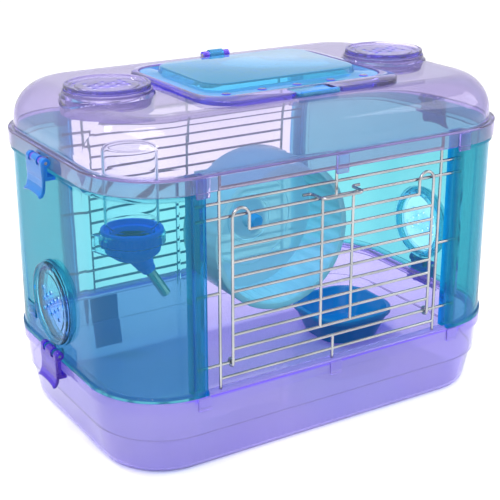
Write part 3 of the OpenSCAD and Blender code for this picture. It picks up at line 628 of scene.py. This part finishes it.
# %% [markdown]
# ### Plated steel
# The wires are drawn steel with bright zinc-nickel plate: a mirror for the white room, with faint lines
# along it from the drawing die. Plain grey paint would look like plastic, so the metal is fully
# metallic and only its roughness and its tone vary.

# %% Drawn steel
GRAIN_STRENGTH = 0.4


def drawn_steel(name, tone, other_tone, clean, scuffed):
    """Plated wire or tube: tone and other_tone are the metal's two close shades."""
    made, tree, shader = start_material(name)
    shader.inputs["Metallic"].default_value = 1.0
    skin = place_group(tree, grain, Shade=(*tone, 1), Other_Shade=(*other_tone, 1), Fineness=700.0)
    tree.links.new(skin.outputs["Colour"], shader.inputs["Base Color"])
    wear = place_group(tree, scuffs, Fineness=160.0, Clean=clean, Scuffed=scuffed)
    tree.links.new(wear.outputs["Roughness"], shader.inputs["Roughness"])
    raise_surface(tree, shader, skin.outputs["Height"], 0.00003, GRAIN_STRENGTH)
    print(f"{name}: roughness", clean, "to", scuffed)
    return made


wire_steel = drawn_steel("wire_steel", (0.42, 0.43, 0.44), (0.33, 0.34, 0.36), 0.22, 0.42)
tube_steel = drawn_steel("tube_steel", (0.48, 0.49, 0.50), (0.38, 0.39, 0.41), 0.12, 0.3)


# %% [markdown]
# ### Rubber and paper
# The bottle's seal is dark rubber, the label is glossy paper, and the studio's floor is matt paper.
# None lets light through, and all three differ only in shade, gloss and the size of their grain, so one
# plain recipe makes them from the shared grain.

# %% Rubber, label paper and floor paper
def grained(name, shade, other_shade, roughness, fineness, depth):
    """A solid finish whose grain is that deep, in metres."""
    made, tree, shader = start_material(name)
    shader.inputs["Roughness"].default_value = roughness
    skin = place_group(tree, grain, Shade=(*shade, 1), Other_Shade=(*other_shade, 1), Fineness=fineness)
    tree.links.new(skin.outputs["Colour"], shader.inputs["Base Color"])
    raise_surface(tree, shader, skin.outputs["Height"], depth, GRAIN_STRENGTH)
    print(f"{name}: roughness", roughness)
    return made


seal_rubber = grained("seal_rubber", (0.03, 0.03, 0.035), (0.02, 0.02, 0.024), 0.6, 1200.0, 0.00005)
label_paper = grained("label_paper", (0.20, 0.36, 0.98), (0.18, 0.33, 0.94), 0.45, 1500.0, 0.00002)
floor_paper = grained("floor_paper", (0.97, 0.97, 0.97), (0.96, 0.96, 0.96), 0.9, 60.0, 0.00005)

# %% Studio floor
FLOOR_SIZE, FLOOR_LOW, FLOOR_TOP = 12000, -1.2, -0.2
floor = loft("floor", [outline(FLOOR_SIZE, FLOOR_SIZE, 10, z) for z in (FLOOR_LOW, FLOOR_TOP)])
dress(floor, floor_paper)
print("floor lies", -FLOOR_TOP, "mm under the tray")

# %% [markdown]
# ## The cage's driving sizes
# The three mouldings share one plan: a rounded rectangle whose corners have their centres in the same
# four places. Everything else is a distance from those centres, so one function gives the plan at any
# distance, and a wall is drawn as a line of distance and height.

# %% Driving sizes in millimetres
CAGE_L, CAGE_W, CORNER = 334, 218, 54
TRAY_TOP, BAND_FOOT, LEDGE, ROOF_TOP = 60, 204, 216, 249
CORNER_X, CORNER_Y = CAGE_L / 2 - CORNER, CAGE_W / 2 - CORNER


def plan(reach, z):
    """The cage's plan where the corners have that radius."""
    return outline(2 * (CORNER_X + reach), 2 * (CORNER_Y + reach), reach, z, steps=14)


def span(node):
    """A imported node's lowest and highest corner, in millimetres."""
    low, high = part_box(node)
    return low / MM, high / MM


low, high = span("tray")
print("tray in the frame:", [round(c, 1) for c in (*low, *high)])

# %% [markdown]
# ## Tray
# The tray is one deep moulding: a rounded foot, a wall that leans out, a level step half way up, and a
# proud lip with a flange inside that the shells stand on. The wall's section is drawn once, outside
# and inside, each edge with its own fillet, and skinned round the plan. Six small blocks stand on the
# lip, in front of the shells' posts and the grille's middle wire.

# %% Tray wall and floor
TRAY_LIP = 55.5
tray_section = eased(
    [(30, 0), (45, 0), (50.5, 29), (52, 29), (53.5, 52), (TRAY_LIP, 52), (TRAY_LIP, TRAY_TOP),
     (45.5, TRAY_TOP), (45.5, 57.5), (51.3, 57.5), (51.3, 52), (49.8, 29), (48.3, 29),
     (42.8, 2.2), (30, 2.2)],
    (8, 0.5, 0.8, 0.6, 0.8, 1.6, 0.8, 0.4, 0.5, 0.4, 0.4, 0.4, 6))
tray = loft("clear_tray", [plan(reach, z) for reach, z in tray_section])
print("points in the tray's section:", len(tray_section))

# %% Rim blocks
BLOCK_X, BLOCK_HALF = (-109, 0, 109), 5
BLOCK_ROOT, BLOCK_PROUD = 0.6, 1.6


def rim_blocks(face, low, high):
    """Blocks along the front and the back of a rim whose face is that far from the corners."""
    made = []
    for x in BLOCK_X:
        for side in (-1, 1):
            ends = sorted((side * (CORNER_Y + face - BLOCK_ROOT), side * (CORNER_Y + face + BLOCK_PROUD)))
            made.append(block("rim_block", (x - BLOCK_HALF, ends[0], low),
                              (x + BLOCK_HALF, ends[1], high), 0.7))
    return made


carve(tray, rim_blocks(TRAY_LIP, TRAY_TOP - 10, TRAY_TOP - 0.2), "UNION")
settle(tray, "cage", "purple_plastic", tray_violet, "tray")

# %% [markdown]
# ## End shells
# Each end is a clear teal shell, bent round two corners and closed by a square post at each free edge.
# A slot in the post takes the grille's wire ends. A bead runs along the foot and the head. The whole
# plan is one C-shaped outline, so the shell is the same skinned stack, standing up: only the outer line
# moves out at the beads. The port is cut, and its collar and the clip's ears are welded on. The right
# shell is the left one's mirror image, but for a small stud that only the left one has.

# %% Outline of an end shell
POST_IN, POST_OUT, POST_W, SHELL_T = 105, 115, 10, 2.5
SLOT = (104.3, 107.0)
SLOT_FLOOR = 112.5
RIDGE_X, RIDGE_PROUD, RIDGE_TOP, RIDGE_FOOT = 12, 0.7, 0.7, 1.3
RIDGE_AT = math.degrees(math.acos(-RIDGE_X / CORNER))
ARC_STEPS = 18


def shell_outline(proud, z):
    """The left shell's plan. The outer line stands proud by that much, and a thin upright
    ridge on the corner spans a few degrees."""
    outer = []
    bumps = {RIDGE_AT - RIDGE_FOOT: 0, RIDGE_AT - RIDGE_TOP: RIDGE_PROUD,
             RIDGE_AT + RIDGE_TOP: RIDGE_PROUD, RIDGE_AT + RIDGE_FOOT: 0}
    turns = sorted([90 + 90 * i / ARC_STEPS for i in range(ARC_STEPS + 1)] + list(bumps))
    for turn in turns:
        reach = CORNER + max(proud, bumps.get(turn, 0))
        outer.append((-CORNER_X + reach * math.cos(math.radians(turn)),
                      CORNER_Y + reach * math.sin(math.radians(turn))))
    edge = CAGE_W / 2
    outer = [(-POST_IN, edge + proud)] + outer
    inner_r = CORNER - SHELL_T
    start = 90 + math.degrees(math.asin((POST_OUT - CORNER_X) / inner_r))
    inner = [(-CORNER_X + inner_r * math.cos(math.radians(start + (180 - start) * i / ARC_STEPS)),
              CORNER_Y + inner_r * math.sin(math.radians(start + (180 - start) * i / ARC_STEPS)))
             for i in range(ARC_STEPS + 1)]
    post = [(-POST_OUT, edge - POST_W), (-POST_IN, edge - POST_W), (-POST_IN, SLOT[0]),
            (-SLOT_FLOOR, SLOT[0]), (-SLOT_FLOOR, SLOT[1]), (-POST_IN, SLOT[1])]
    back = [(x, y, z) for x, y in outer]
    front = [(x, -y, z) for x, y in reversed(outer)]
    front_post = [(x, -y, z) for x, y in reversed(post)]
    front_inner = [(x, -y, z) for x, y in inner]
    back_inner = [(x, y, z) for x, y in reversed(inner)]
    back_post = [(x, y, z) for x, y in post]
    return back + front + front_post + front_inner + back_inner + back_post


print("points in the shell's plan:", len(shell_outline(0, 0)))


# %% Ears
EAR_Y, EAR_SIDES = 7, 14
TRAY_PIN = (172.3, 67)
ROOF_PIN = (173.8, 210)


def ear(x, y, z, reach, width=4, radius=2.8):
    """An ear round a pin that runs along Y, with its root at x + reach."""
    rings = []
    for inset, side in ((0.5, -1), (0, -0.8), (0, 0.8), (0.5, 1)):
        r = radius - inset
        bend = [(x - r * math.cos(t), z - r * math.sin(t))
                for t in [math.radians(-90 + 180 * i / EAR_SIDES) for i in range(EAR_SIDES + 1)]]
        line = bend + [(x + reach, z - r), (x + reach, z + r)]
        rings.append([(px, y + side * width / 2, pz) for px, pz in line])
    return loft("ear", rings)


print("clip pins stand at", TRAY_PIN, "and", ROOF_PIN)

# %% Left and right shells
PORT_Z, PORT_R, COLLAR_R, COLLAR_PROUD = 103, 27.5, 31.5, 1.8
PORT_PLACE = (-CAGE_L / 2, 0, PORT_Z)
CLIP_PIN_HOLE = 1.26
STUD = ((-167.9, 40, 76), (-166, 55, 87))

shell_section = eased(
    [(1.5, TRAY_TOP + 0.05), (1.5, 63.1), (0, 63.6), (0, 200.3), (2, 200.8), (2, BAND_FOOT - 0.4),
     (0, BAND_FOOT - 0.05), (0, 213.5)],
    (1.0, 0.6, 0.6, 0.8, 0.8, 0.3))
left_shell = loft("left_clear_shell", [shell_outline(proud, z) for proud, z in shell_section])
collar_line = eased([(PORT_R, -2.8), (COLLAR_R, -2.8), (COLLAR_R, COLLAR_PROUD), (PORT_R, COLLAR_PROUD),
                     (PORT_R, -2)], (0.2, 0.9, 0.3))
port_collar = turned("collar", collar_line[:-1], TO_LEFT, PORT_PLACE, 96, True)
catch_ears = [ear(-TRAY_PIN[0], y, TRAY_PIN[1], 6.3) for y in (-EAR_Y, EAR_Y)]
carve(left_shell, [rod("port", (PORT_R + COLLAR_R) / 2, 30, PORT_PLACE, ALONG_X, 90)])
carve(left_shell, [port_collar] + catch_ears, "UNION")
tray_pin_place = (-TRAY_PIN[0], 0, TRAY_PIN[1])
carve(left_shell, [rod("pin_hole", CLIP_PIN_HOLE, 30, tray_pin_place, ALONG_Y, BORE_SIDES)])
right_shell = mirrored(left_shell, "right_clear_shell")
carve(left_shell, [block("stud", *STUD, 0.4)], "UNION")
settle(left_shell, "cage", "teal_plastic", shell_teal, "left_end_shell")
settle(right_shell, "cage", "teal_plastic", shell_teal, "right_end_shell")

# %% [markdown]
# ## Roof
# The roof is a shallow dome with a big round edge, a level ledge and a band that hangs outside the
# shells. A raised frame stands round the hatch and breaks for the finger tongue, and a short collar
# rises at each end for the round vents. The dome is one skinned section. The vent holes are cut in the
# bare dome, then frame, collars, ears and blocks are welded on, and the hatch opening and the pins'
# holes are cut last, through everything.

# %% Roof dome
DOME_FOOT, DOME_R, DOME_IN, ROOF_T = 221, 28, 24.5, 2.2


def quarter(middle, foot, radius, steps=12):
    """A quarter turn from the top of the dome to its foot."""
    return [(middle + radius * math.sin(math.radians(90 * i / steps)),
             foot + radius * math.cos(math.radians(90 * i / steps))) for i in range(steps + 1)]


ROOF_BAND = 57
ledge_section = eased(
    [(52.5, DOME_FOOT), (52.5, LEDGE), (ROOF_BAND, LEDGE), (ROOF_BAND, BAND_FOOT), (54.6, BAND_FOOT),
     (54.6, 213.8), (50.3, 213.8), (50.3, DOME_FOOT)],
    (1.2, 1.3, 1.0, 0.6, 0.4, 0.8))
roof_section = ([(18, ROOF_TOP)] + quarter(DOME_IN, DOME_FOOT, DOME_R)[:-1] + ledge_section
                + quarter(DOME_IN, DOME_FOOT, DOME_R - ROOF_T)[::-1][1:] + [(18, ROOF_TOP - ROOF_T)])
roof = loft("clear_roof", [plan(reach, z) for reach, z in roof_section])
print("dome is", ROOF_TOP - BAND_FOOT, "mm high from the band's foot")

# %% Frame round the hatch
HATCH_Y, HATCH_L, HATCH_W, HATCH_R = -5, 152, 118, 20
FRAME_Y, FRAME_L, FRAME_W, FRAME_R = -11, 163.4, 141.4, 25
PIN_Y, PIN_Z = 58, 254.5

frame_line = ((0, ROOF_TOP - 1.5), (0, 251.3), (0.35, 252.0), (1.2, 252.5))
hatch_frame = loft("frame", [outline(FRAME_L - 2 * inset, FRAME_W - 2 * inset, FRAME_R - inset, z,
                                     (0, FRAME_Y)) for inset, z in frame_line])
carve(hatch_frame, [
    loft("inside", [outline(153.4, 119.4, 20.7, z, (0, HATCH_Y)) for z in (ROOF_TOP - 5, 260)]),
    loft("notch", [outline(34, 24, 3.5, z, (0, -78)) for z in (ROOF_TOP, 260)]),
    loft("notch_mouth", [outline(46, 12, 5.5, z, (0, -86)) for z in (ROOF_TOP, 260)]),
    block("knuckle_room", (-7, 53.5, ROOF_TOP + 0.2), (7, 61, 262), 0.5)])
print("hatch frame:", FRAME_L, "by", FRAME_W, "mm")

# %% Vent collars and ears on the roof
VENT_X, VENT_TOP = 120, 253
vent_line = eased([(29.3, 236), (32.5, 236), (33.5, 248.8), (COLLAR_R, 250.8), (COLLAR_R, VENT_TOP),
                   (PORT_R, VENT_TOP), (PORT_R, 250.8), (29.3, 250.8), (29.3, 237)],
                  (0.5, 1.0, 1.5, 0.9, 0.3, 0.2, 0.3))[:-1]
collars = [turned("vent_collar", vent_line, None, (x, 0, 0), 96, True) for x in (-VENT_X, VENT_X)]
carve(roof, [rod("vent_hole", 30.7, 12, (x, 0, ROOF_TOP), steps=90) for x in (-VENT_X, VENT_X)])
roof_ears = [ear(-ROOF_PIN[0], y, ROOF_PIN[1], 5.2) for y in (-EAR_Y, EAR_Y)]
roof_ears += [mirrored(one, "ear") for one in roof_ears]
pin_ears = []
for x in (-9, 9):
    pin_ears.append(block("pin_ear", (x - 2.5, PIN_Y - 2.9, 248), (x + 2.5, PIN_Y + 2.9, PIN_Z - 0.2), 0.3))
    pin_ears.append(rod("pin_eye", 3, 4.9, (x, PIN_Y, PIN_Z), ALONG_X))
carve(roof, [hatch_frame] + collars + roof_ears + pin_ears
      + rim_blocks(ROOF_BAND, BAND_FOOT - 3, LEDGE - 1.8), "UNION")
print("faces on the roof before its openings:", len(roof.data.polygons))

# %% Openings in the roof
HATCH_HOLE_L, HATCH_HOLE_W, HATCH_HOLE_R = 138, 104, 13
HATCH_PIN_HOLE = 1.56
openings = [loft("hatch_hole", [outline(HATCH_HOLE_L, HATCH_HOLE_W, HATCH_HOLE_R, z, (0, HATCH_Y))
                                for z in (230, 270)]),
            rod("hatch_pin_hole", HATCH_PIN_HOLE, 40, (0, PIN_Y, PIN_Z), ALONG_X, BORE_SIDES)]
for x in (-ROOF_PIN[0], ROOF_PIN[0]):
    openings.append(rod("clip_pin_hole", CLIP_PIN_HOLE, 30, (x, 0, ROOF_PIN[1]), ALONG_Y, BORE_SIDES))
carve(roof, openings)
settle(roof, "cage", "purple_plastic", roof_violet, "roof")

# %% [markdown]
# ## Hatch
# The hatch is a thin flap with a raised middle, a tongue for a finger and a knuckle for its pin. It
# could be three boxes, but the real one is a single pressed shape with soft shoulders, hollow below.
# One stack runs from the hollow's ceiling, round the flange's edge and up to the top. Small violet
# bumpers lie along the flange's front.

# %% Hatch flap
FLAP_Z, RAISED_Y = 249.6, -2
# length, width, corner, height and middle of each outline
hatch_rings = [(124, 84, 14, 254.5, RAISED_Y), (124, 84, 14, FLAP_Z, RAISED_Y),
               (HATCH_L - 1, HATCH_W - 1, HATCH_R - 0.5, FLAP_Z, HATCH_Y),
               (HATCH_L, HATCH_W, HATCH_R, FLAP_Z + 0.5, HATCH_Y),
               (HATCH_L, HATCH_W, HATCH_R, FLAP_Z + 1.4, HATCH_Y),
               (HATCH_L - 1.2, HATCH_W - 1.2, HATCH_R - 0.6, FLAP_Z + 2, HATCH_Y),
               (131, 91, 17.5, FLAP_Z + 2, RAISED_Y), (129.6, 89.6, 16.8, FLAP_Z + 2.3, RAISED_Y),
               (128.8, 88.8, 16.4, FLAP_Z + 3.2, RAISED_Y), (127.4, 87.4, 15.7, 255.4, RAISED_Y),
               (126.6, 86.6, 15.3, 256.2, RAISED_Y), (125, 85, 14.5, 256.5, RAISED_Y)]
hatch = loft("hatch_flap_clear", [outline(l, w, r, z, (0, y), 12) for l, w, r, z, y in hatch_rings])
print("outlines in the hatch:", len(hatch_rings))

# %% Tongue and knuckle of the hatch
HATCH_BORE = 1.6
tongue = block("tongue", (-15.5, -84.5, FLAP_Z), (15.5, -60, FLAP_Z + 2), 0.7)
tongue_roll = turned("tongue_roll", eased([(0.3, -15.5), (2, -15.5), (2, 15.5), (0.3, 15.5)], (0.8, 0.8)),
                     ALONG_X, (0, -84.5, FLAP_Z + 2), 32)
knuckle = turned("knuckle", eased([(0.3, -6), (4, -6), (4, 6), (0.3, 6)], (0.6, 0.6)), ALONG_X,
                 (0, PIN_Y, PIN_Z), 40)
knuckle_root = block("knuckle_root", (-5.8, 50, FLAP_Z), (5.8, PIN_Y, PIN_Z - 0.3), 0.5)
carve(hatch, [tongue, tongue_roll, knuckle, knuckle_root], "UNION")
carve(hatch, [rod("pin_bore", HATCH_BORE, 20, (0, PIN_Y, PIN_Z), ALONG_X, BORE_SIDES)])
settle(hatch, "hatch", "teal_plastic", hatch_blue, "hatch_flap")

# %% Hatch bumpers
BUMPER_X, BUMPER_Y = (-58, -29, 0, 29, 58), -56
bumper_line = [(2.6, -0.15), (3.2, -0.15), (3.2, 0.25), (2.8, 0.5), (1.6, 0.65)]
for number, x in enumerate(BUMPER_X, 1):
    bumper = turned(f"hatch_bumper_{number}", bumper_line, None, (x, BUMPER_Y, FLAP_Z + 2.2), 32)
    settle(bumper, "hatch", "purple_plastic", roof_violet)

# %% [markdown]
# ## Port caps and roof vents
# The four round caps come from one mould: a flat face with staggered air holes, a shallow groove, a
# rolled rim and a neck that plugs the hole. Turned on a lathe it is one line of radius and height,
# and the air holes are then drilled through. Two go over the tube ports and two on the roof's collars.

# %% Round caps
HOLE_PITCH, AIR_HOLE_R = (8, 6.5), 1.5
CAP_GAP = 0.3
TURN_HOLES = Matrix.Rotation(math.radians(90), 4, "Z")
cap_profile = ([(21.2, 2.0)]
               + eased([(21.9, 2.0), (22.5, 1.5), (24.2, 1.5), (24.8, 2.1), (27.4, 2.3), (28.2, 3.4),
                        (30.2, 3.4), (30.5, 0), (27.25, 0), (27.25, -7), (25.25, -7), (25.25, 0)],
                       (0.3, 0.3, 0.3, 0.5, 0.6, 1.0, 0.6, 0.3, 0.8, 0.4))
               + [(24.6, 0)])


def air_hole_places():
    """Five staggered rows of three and two."""
    for row in range(-2, 3):
        count = 3 if row % 2 == 0 else 2
        for i in range(count):
            yield (i - (count - 1) / 2) * HOLE_PITCH[0], row * HOLE_PITCH[1]


def round_cap(name, turn, place):
    """A cap whose face looks up before it is turned."""
    cap = turned(name, cap_profile, steps=96)
    carve(cap, [rod("air_hole", AIR_HOLE_R, 10, (x, y, 0), steps=18) for x, y in air_hole_places()])
    return move_to(cap, place, turn)


left_cap = round_cap("left_port_cap_clear", TO_LEFT, (-CAGE_L / 2 - COLLAR_PROUD - CAP_GAP, 0, PORT_Z))
right_cap = mirrored(left_cap, "right_port_cap_clear")
settle(left_cap, "left_port", "teal_plastic", port_teal, "left_port_cap")
settle(right_cap, "right_port", "teal_plastic", port_teal, "right_port_cap")
left_vent = round_cap("left_vent_clear", TURN_HOLES, (-VENT_X, 0, VENT_TOP + CAP_GAP))
right_vent = mirrored(left_vent, "right_vent_clear")
settle(left_vent, "left_vent", "purple_plastic", vent_violet, "left_roof_vent")
settle(right_vent, "right_vent", "purple_plastic", vent_violet, "right_roof_vent")

# %% [markdown]
# ## Rim clips
# Four clips hold the roof and the tray on. Each has a barrel that turns on a steel pin between two
# ears, a plate with a hook behind it that reaches under the rim, and a flared tail for the thumb,
# lower at its corners than in the middle. The side view is drawn as one closed line and repeated
# across the width, and the tail is pushed out more and more towards each corner.

# %% Side view and plate of a clip
CLIP_W, CLIP_STEPS, BARREL_R = 28, 16, 3.4
TAIL_START, TAIL_LENGTH, TAIL_FLARE, TAIL_DROP = 13, 9, 0.45, 1.7
SOFT_EDGE = 0.45 * MM


def clip_side():
    """The clip seen from the side, as (outward, height), with the pin at the origin."""
    barrel = [(BARREL_R * math.cos(t), BARREL_R * math.sin(t))
              for t in [math.radians(-70 + 250 * i / 20) for i in range(21)]]
    outer = eased([barrel[-1], (-3.5, -6), (-3.2, -12), (-3.4, -16.5), (-4.4, -19.6), (-5.9, -20.9),
                   (-6.2, -21.9), (-5.2, -22.5), (-3.0, -21.6), (-1.4, -19.2), (-1.0, -15), (-1.0, -4.6),
                   (0.4, -3.6)], (2, 3, 3, 1.5, 0.4, 0.4, 0.8, 1.5, 2, 2, 1), 2)
    return barrel + outer[1:]


def clip_plate(name):
    """The side view repeated across the width, its tail flared and dropped at the corners."""
    rings = []
    for i in range(CLIP_STEPS + 1):
        y = CLIP_W * (i / CLIP_STEPS - 0.5)
        corner = abs(2 * y / CLIP_W) ** 3
        ring = []
        for x, z in clip_side():
            tail = min(max((-z - TAIL_START) / TAIL_LENGTH, 0), 1)
            ring.append((x - TAIL_FLARE * corner * tail, y, z - TAIL_DROP * corner * tail))
        rings.append(ring)
    plate = loft(name, rings)
    edges = plate.modifiers.new("soft edges", "BEVEL")
    edges.width = SOFT_EDGE
    edges.segments = 2
    edges.limit_method = "ANGLE"
    edges.angle_limit = math.radians(50)
    settle_modifiers(plate)
    return plate


print("points in the clip's side view:", len(clip_side()))


# %% Rim clips
CLIP_BORE = 1.3


def rim_clip(name, pin, hook_z, hook_in):
    """A left-hand clip: its outer side faces -X."""
    clip = clip_plate(name)
    half = CLIP_W / 2
    low = -hook_z - 2.9
    parts = [block("hook", (-2.9, -half + 0.4, low), (hook_in, half - 0.4, low + 2.6), 0.5)]
    for y in (-half + 1.5, half - 1.5):
        parts.append(block("cheek", (-2.8, y - 1.1, low + 0.2), (0.9, y + 1.1, -0.5), 0.4))
    carve(clip, parts, "UNION")
    room = []
    for y in (-EAR_Y, EAR_Y):
        room.append(rod("barrel_room", 3.85, 4.8, (0, y, 0), ALONG_Y, 40))
        room.append(block("ear_room", (-0.5, y - 2.38, -3.8), (20, y + 2.38, 3.8), 0.2))
    carve(clip, room + [rod("pin_bore", CLIP_BORE, 40, (0, 0, 0), ALONG_Y, BORE_SIDES)])
    return move_to(clip, (-pin[0], 0, pin[1]))


for level, pin, hook_z, hook_in, slot, finish in (
        ("roof", ROOF_PIN, 9.5, 6.5, "teal_plastic", clip_blue),
        ("tray", TRAY_PIN, 15, 4.8, "purple_plastic", clip_violet)):
    left = rim_clip(f"left_{level}_clip_clear", pin, hook_z, hook_in)
    right = mirrored(left, f"right_{level}_clip_clear")
    settle(left, f"left_{level}_catch", slot, finish, f"left_{level}_clip")
    settle(right, f"right_{level}_catch", slot, finish, f"right_{level}_clip")

# %% [markdown]
# ## Exercise wheel
# The wheel is a milky drum with a closed back, a rolled front edge and low rungs across the running
# track. Rungs welded on one by one would mean thirty-six Booleans. Instead the inner outlines of the
# drum carry the rungs as small waves in their radius, so the drum stays one clean skin. Its hub is a
# deeper blue, and shows through the drum from the front, so it is a piece of its own behind the back.

# %% Exercise wheel
RUNGS, RUNG_WAVE = 36, (0, 0.55, 1.25, 1.25, 0.55, 0)
WHEEL_PLACE = (27, 52.25, 117)
AXLE_ROOM = 2.1


def waved_circle(radius, z, height, repeats, wave):
    """A level circle that rises outward by a repeated wave of that height."""
    count = repeats * len(wave)
    ring = []
    for i in range(count):
        reach = radius + height * wave[i % len(wave)]
        turn = 2 * math.pi * i / count
        ring.append((reach * math.cos(turn), reach * math.sin(turn), z))
    return ring


# radius, height, and how far the rungs stand inward there
wheel_line = [(AXLE_ROOM, 0, 0), (61.2, 0, 0), (61.8, 0.3, 0), (62, 0.9, 0), (62, 51.1, 0), (61.7, 51.7, 0),
              (61.1, 52, 0), (57.9, 52, 0), (57.2, 51.7, 0), (57, 51.1, 0), (57.1, 49.6, 0), (57.8, 49, 0),
              (59.4, 48.8, 0), (60, 48.2, 0), (60, 47.4, 1), (60, 3.4, 1), (60, 2.6, 0), (59.4, 2, 0),
              (40.6, 2, 0), (40, 2.5, 0), (38.6, 2.5, 0), (38, 2, 0), (21.4, 2, 0), (20.8, 2.8, 0),
              (18.4, 2.8, 0), (17.8, 2, 0), (7.6, 2, 0), (7, 2.6, 0), (7, 7.2, 0), (6.4, 8, 0),
              (AXLE_ROOM, 8, 0)]
wheel = loft("wheel_milky", [waved_circle(r, z, -inward, RUNGS, RUNG_WAVE) for r, z, inward in wheel_line],
             ring_round=True)
move_to(wheel, WHEEL_PLACE, ALONG_Y)
settle(wheel, "wheel", "wheel_plastic", wheel_blue, "wheel_drum")

# %% Wheel hub
hub_line = [(AXLE_ROOM, -8), (15.7, -8), (16.5, -7.2), (16.5, -0.8), (15.8, -0.1), (AXLE_ROOM, -0.1)]
hub = turned("wheel_hub_blue", hub_line, ALONG_Y, WHEEL_PLACE, ring_round=True)
settle(hub, "wheel", "wheel_plastic", hub_blue)

# %% [markdown]
# ## Water bottle
# The bottle is blown from clear plastic so thin that only its shoulder, its round top and one gleam
# show. It stands in a blue screw cap with grip ribs, and a cone below leads to a steel tube with a
# ball in its tip. The body is turned; the cap is the same stack of circles with the ribs as waves.

# %% Bottle body
BOTTLE = (-135.8, -63.9)
CAP_Z = 152
BODY_Z = CAP_Z + 13
body_line = eased(
    [(9, 62.8), (17.05, 62.8), (17.05, 11.6), (14.05, 8.4), (14.05, 0.3), (15.25, 0.3), (15.25, 8),
     (18.25, 12), (18.25, 64), (9, 64)], (5.2, 1.5, 1.5, 0.3, 0.4, 1.2, 2, 6.2), 8)
bottle = turned("bottle_body_clear", body_line, None, (*BOTTLE, BODY_Z))
settle(bottle, "bottle", "clear_plastic", bottle_clear, "bottle_body")

# %% Bottle cap
RIBS, RIB_WAVE = 30, (0, 0.5, 1, 1, 0.5, 0)
# radius, height, and how far the grip ribs stand out there
cap_line = [(8, 0, 0), (11.6, 0, 0), (12.6, 0.3, 0), (17.4, 3.9, 0), (18.4, 5.2, 0), (19.05, 8.4, 0),
            (19.1, 9.2, 0), (19.05, 9.8, 0.4), (19.05, 16.6, 0.4), (19.1, 17.3, 0), (20.2, 17.7, 0),
            (20.9, 18.2, 0), (21, 18.8, 0), (21, 20.3, 0), (20.7, 20.8, 0), (20.1, 21, 0), (19, 21, 0),
            (18.6, 20.6, 0), (18.6, 17.3, 0), (18.3, 17, 0), (15.7, 17, 0), (15.5, 16.6, 0), (15.5, 11, 0),
            (15.3, 10.8, 0), (12.3, 10.8, 0), (12, 10.4, 0), (12, 5.6, 0), (11.4, 5, 0), (8, 5, 0)]
bottle_cap = loft("bottle_cap_blue", [waved_circle(r, z, out, RIBS, RIB_WAVE) for r, z, out in cap_line])
move_to(bottle_cap, (*BOTTLE, CAP_Z))
print("grip ribs on the cap:", RIBS)

# %% Cone under the cap
NOZZLE_LEAN, NOZZLE_BORE = 32, 3.54
nozzle_turn = Matrix.Rotation(math.radians(180 - NOZZLE_LEAN), 4, "Y")
nozzle_place = (BOTTLE[0] + 3, BOTTLE[1], CAP_Z + 2)
nozzle_line = eased([(4, -4.2), (9, -4), (6.6, 9), (6.6, 10.5), (5.6, 12.5), (5, 16), (4, 16)],
                    (0.3, 1, 0.5, 1, 0.7))
carve(bottle_cap, [turned("nozzle", nozzle_line, nozzle_turn, nozzle_place)], "UNION")
bore = turned("tube_bore", [(NOZZLE_BORE, -3.9), (NOZZLE_BORE, 30)], nozzle_turn, nozzle_place, 50)
carve(bottle_cap, [bore])
settle(bottle_cap, "bottle", "deep_blue_plastic", cap_blue, "bottle_cap")

# %% [markdown]
# ## Food bowl
# The bowl is a small square dish with big soft corners, a rolled rim and walls that lean out. It is
# thick and cloudy, so it reads as solid blue. Again it is one stack: up the outside, over the rim and
# down to the inside floor.

# %% Food bowl
BOWL, BOWL_CORNER = (113, 36, 2.5), 0.34
bowl_line = eased(
    [(40, 0), (55.4, 0), (72.8, 20.8), (76, 20.8), (76, 25), (69, 25), (50, 3), (40, 3)],
    (2.2, 1.2, 0.9, 1.7, 1.2, 4.5), 5)
bowl = loft("bowl_blue", [outline(d, d, BOWL_CORNER * d, z + BOWL[2], BOWL[:2], 12)
                          for d, z in bowl_line])
settle(bowl, "bowl", "deep_blue_plastic", bowl_blue, "food_bowl")

# %% [markdown]
# ## Label
# A blank blue sticker wraps over the step on the back of the tray, near the left end. Paint in
# the tray's material would need a mask, and a sticker is a real thin sheet anyway: one closed strip
# that follows the wall's section a fraction of a millimetre outside it.

# %% Blank label
LABEL_ENDS = (-99, -70)
LABEL_GAP, LABEL_FACE = 0.1, 0.35
label_line = [(46.6, 7.5), (50.35, 27.6), (50.9, 28.6), (52.0, 29.3), (52.2, 30.4), (53.4, 51.5)]
label_ring = ([(CORNER_Y + reach + LABEL_GAP, z) for reach, z in label_line]
              + [(CORNER_Y + reach + LABEL_FACE, z) for reach, z in reversed(label_line)])
label = loft("blank_label", [[(x, y, z) for y, z in label_ring] for x in LABEL_ENDS])
settle(label, "cage", "deep_blue_plastic", label_paper)

# %% [markdown]
# ## Wires, pins and small fittings
# The grilles, the door and its latch are bent and welded wire. They could be swept along curves again,
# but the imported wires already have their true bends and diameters, so they stay, with a steel finish.
# The same holds for the axle, the pins, the wheel's bracket and keeper, the bottle's ring, the seal,
# the drinking tube and its ball.

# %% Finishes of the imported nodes
KEPT = {"front_grille": wire_steel, "back_grille": wire_steel, "door_frame": wire_steel,
        "door_latch": wire_steel, "hatch_pin": wire_steel, "clip_pins": wire_steel,
        "wheel_axle": wire_steel, "wheel_keeper": hub_blue, "wheel_bracket": wheel_blue,
        "bottle_holder": holder_teal, "bottle_seal": seal_rubber, "drip_tube": tube_steel,
        "drip_ball": tube_steel}
for name, finish in KEPT.items():
    dress(NODES[name], finish)
print("packed nodes that stay:", len(KEPT))
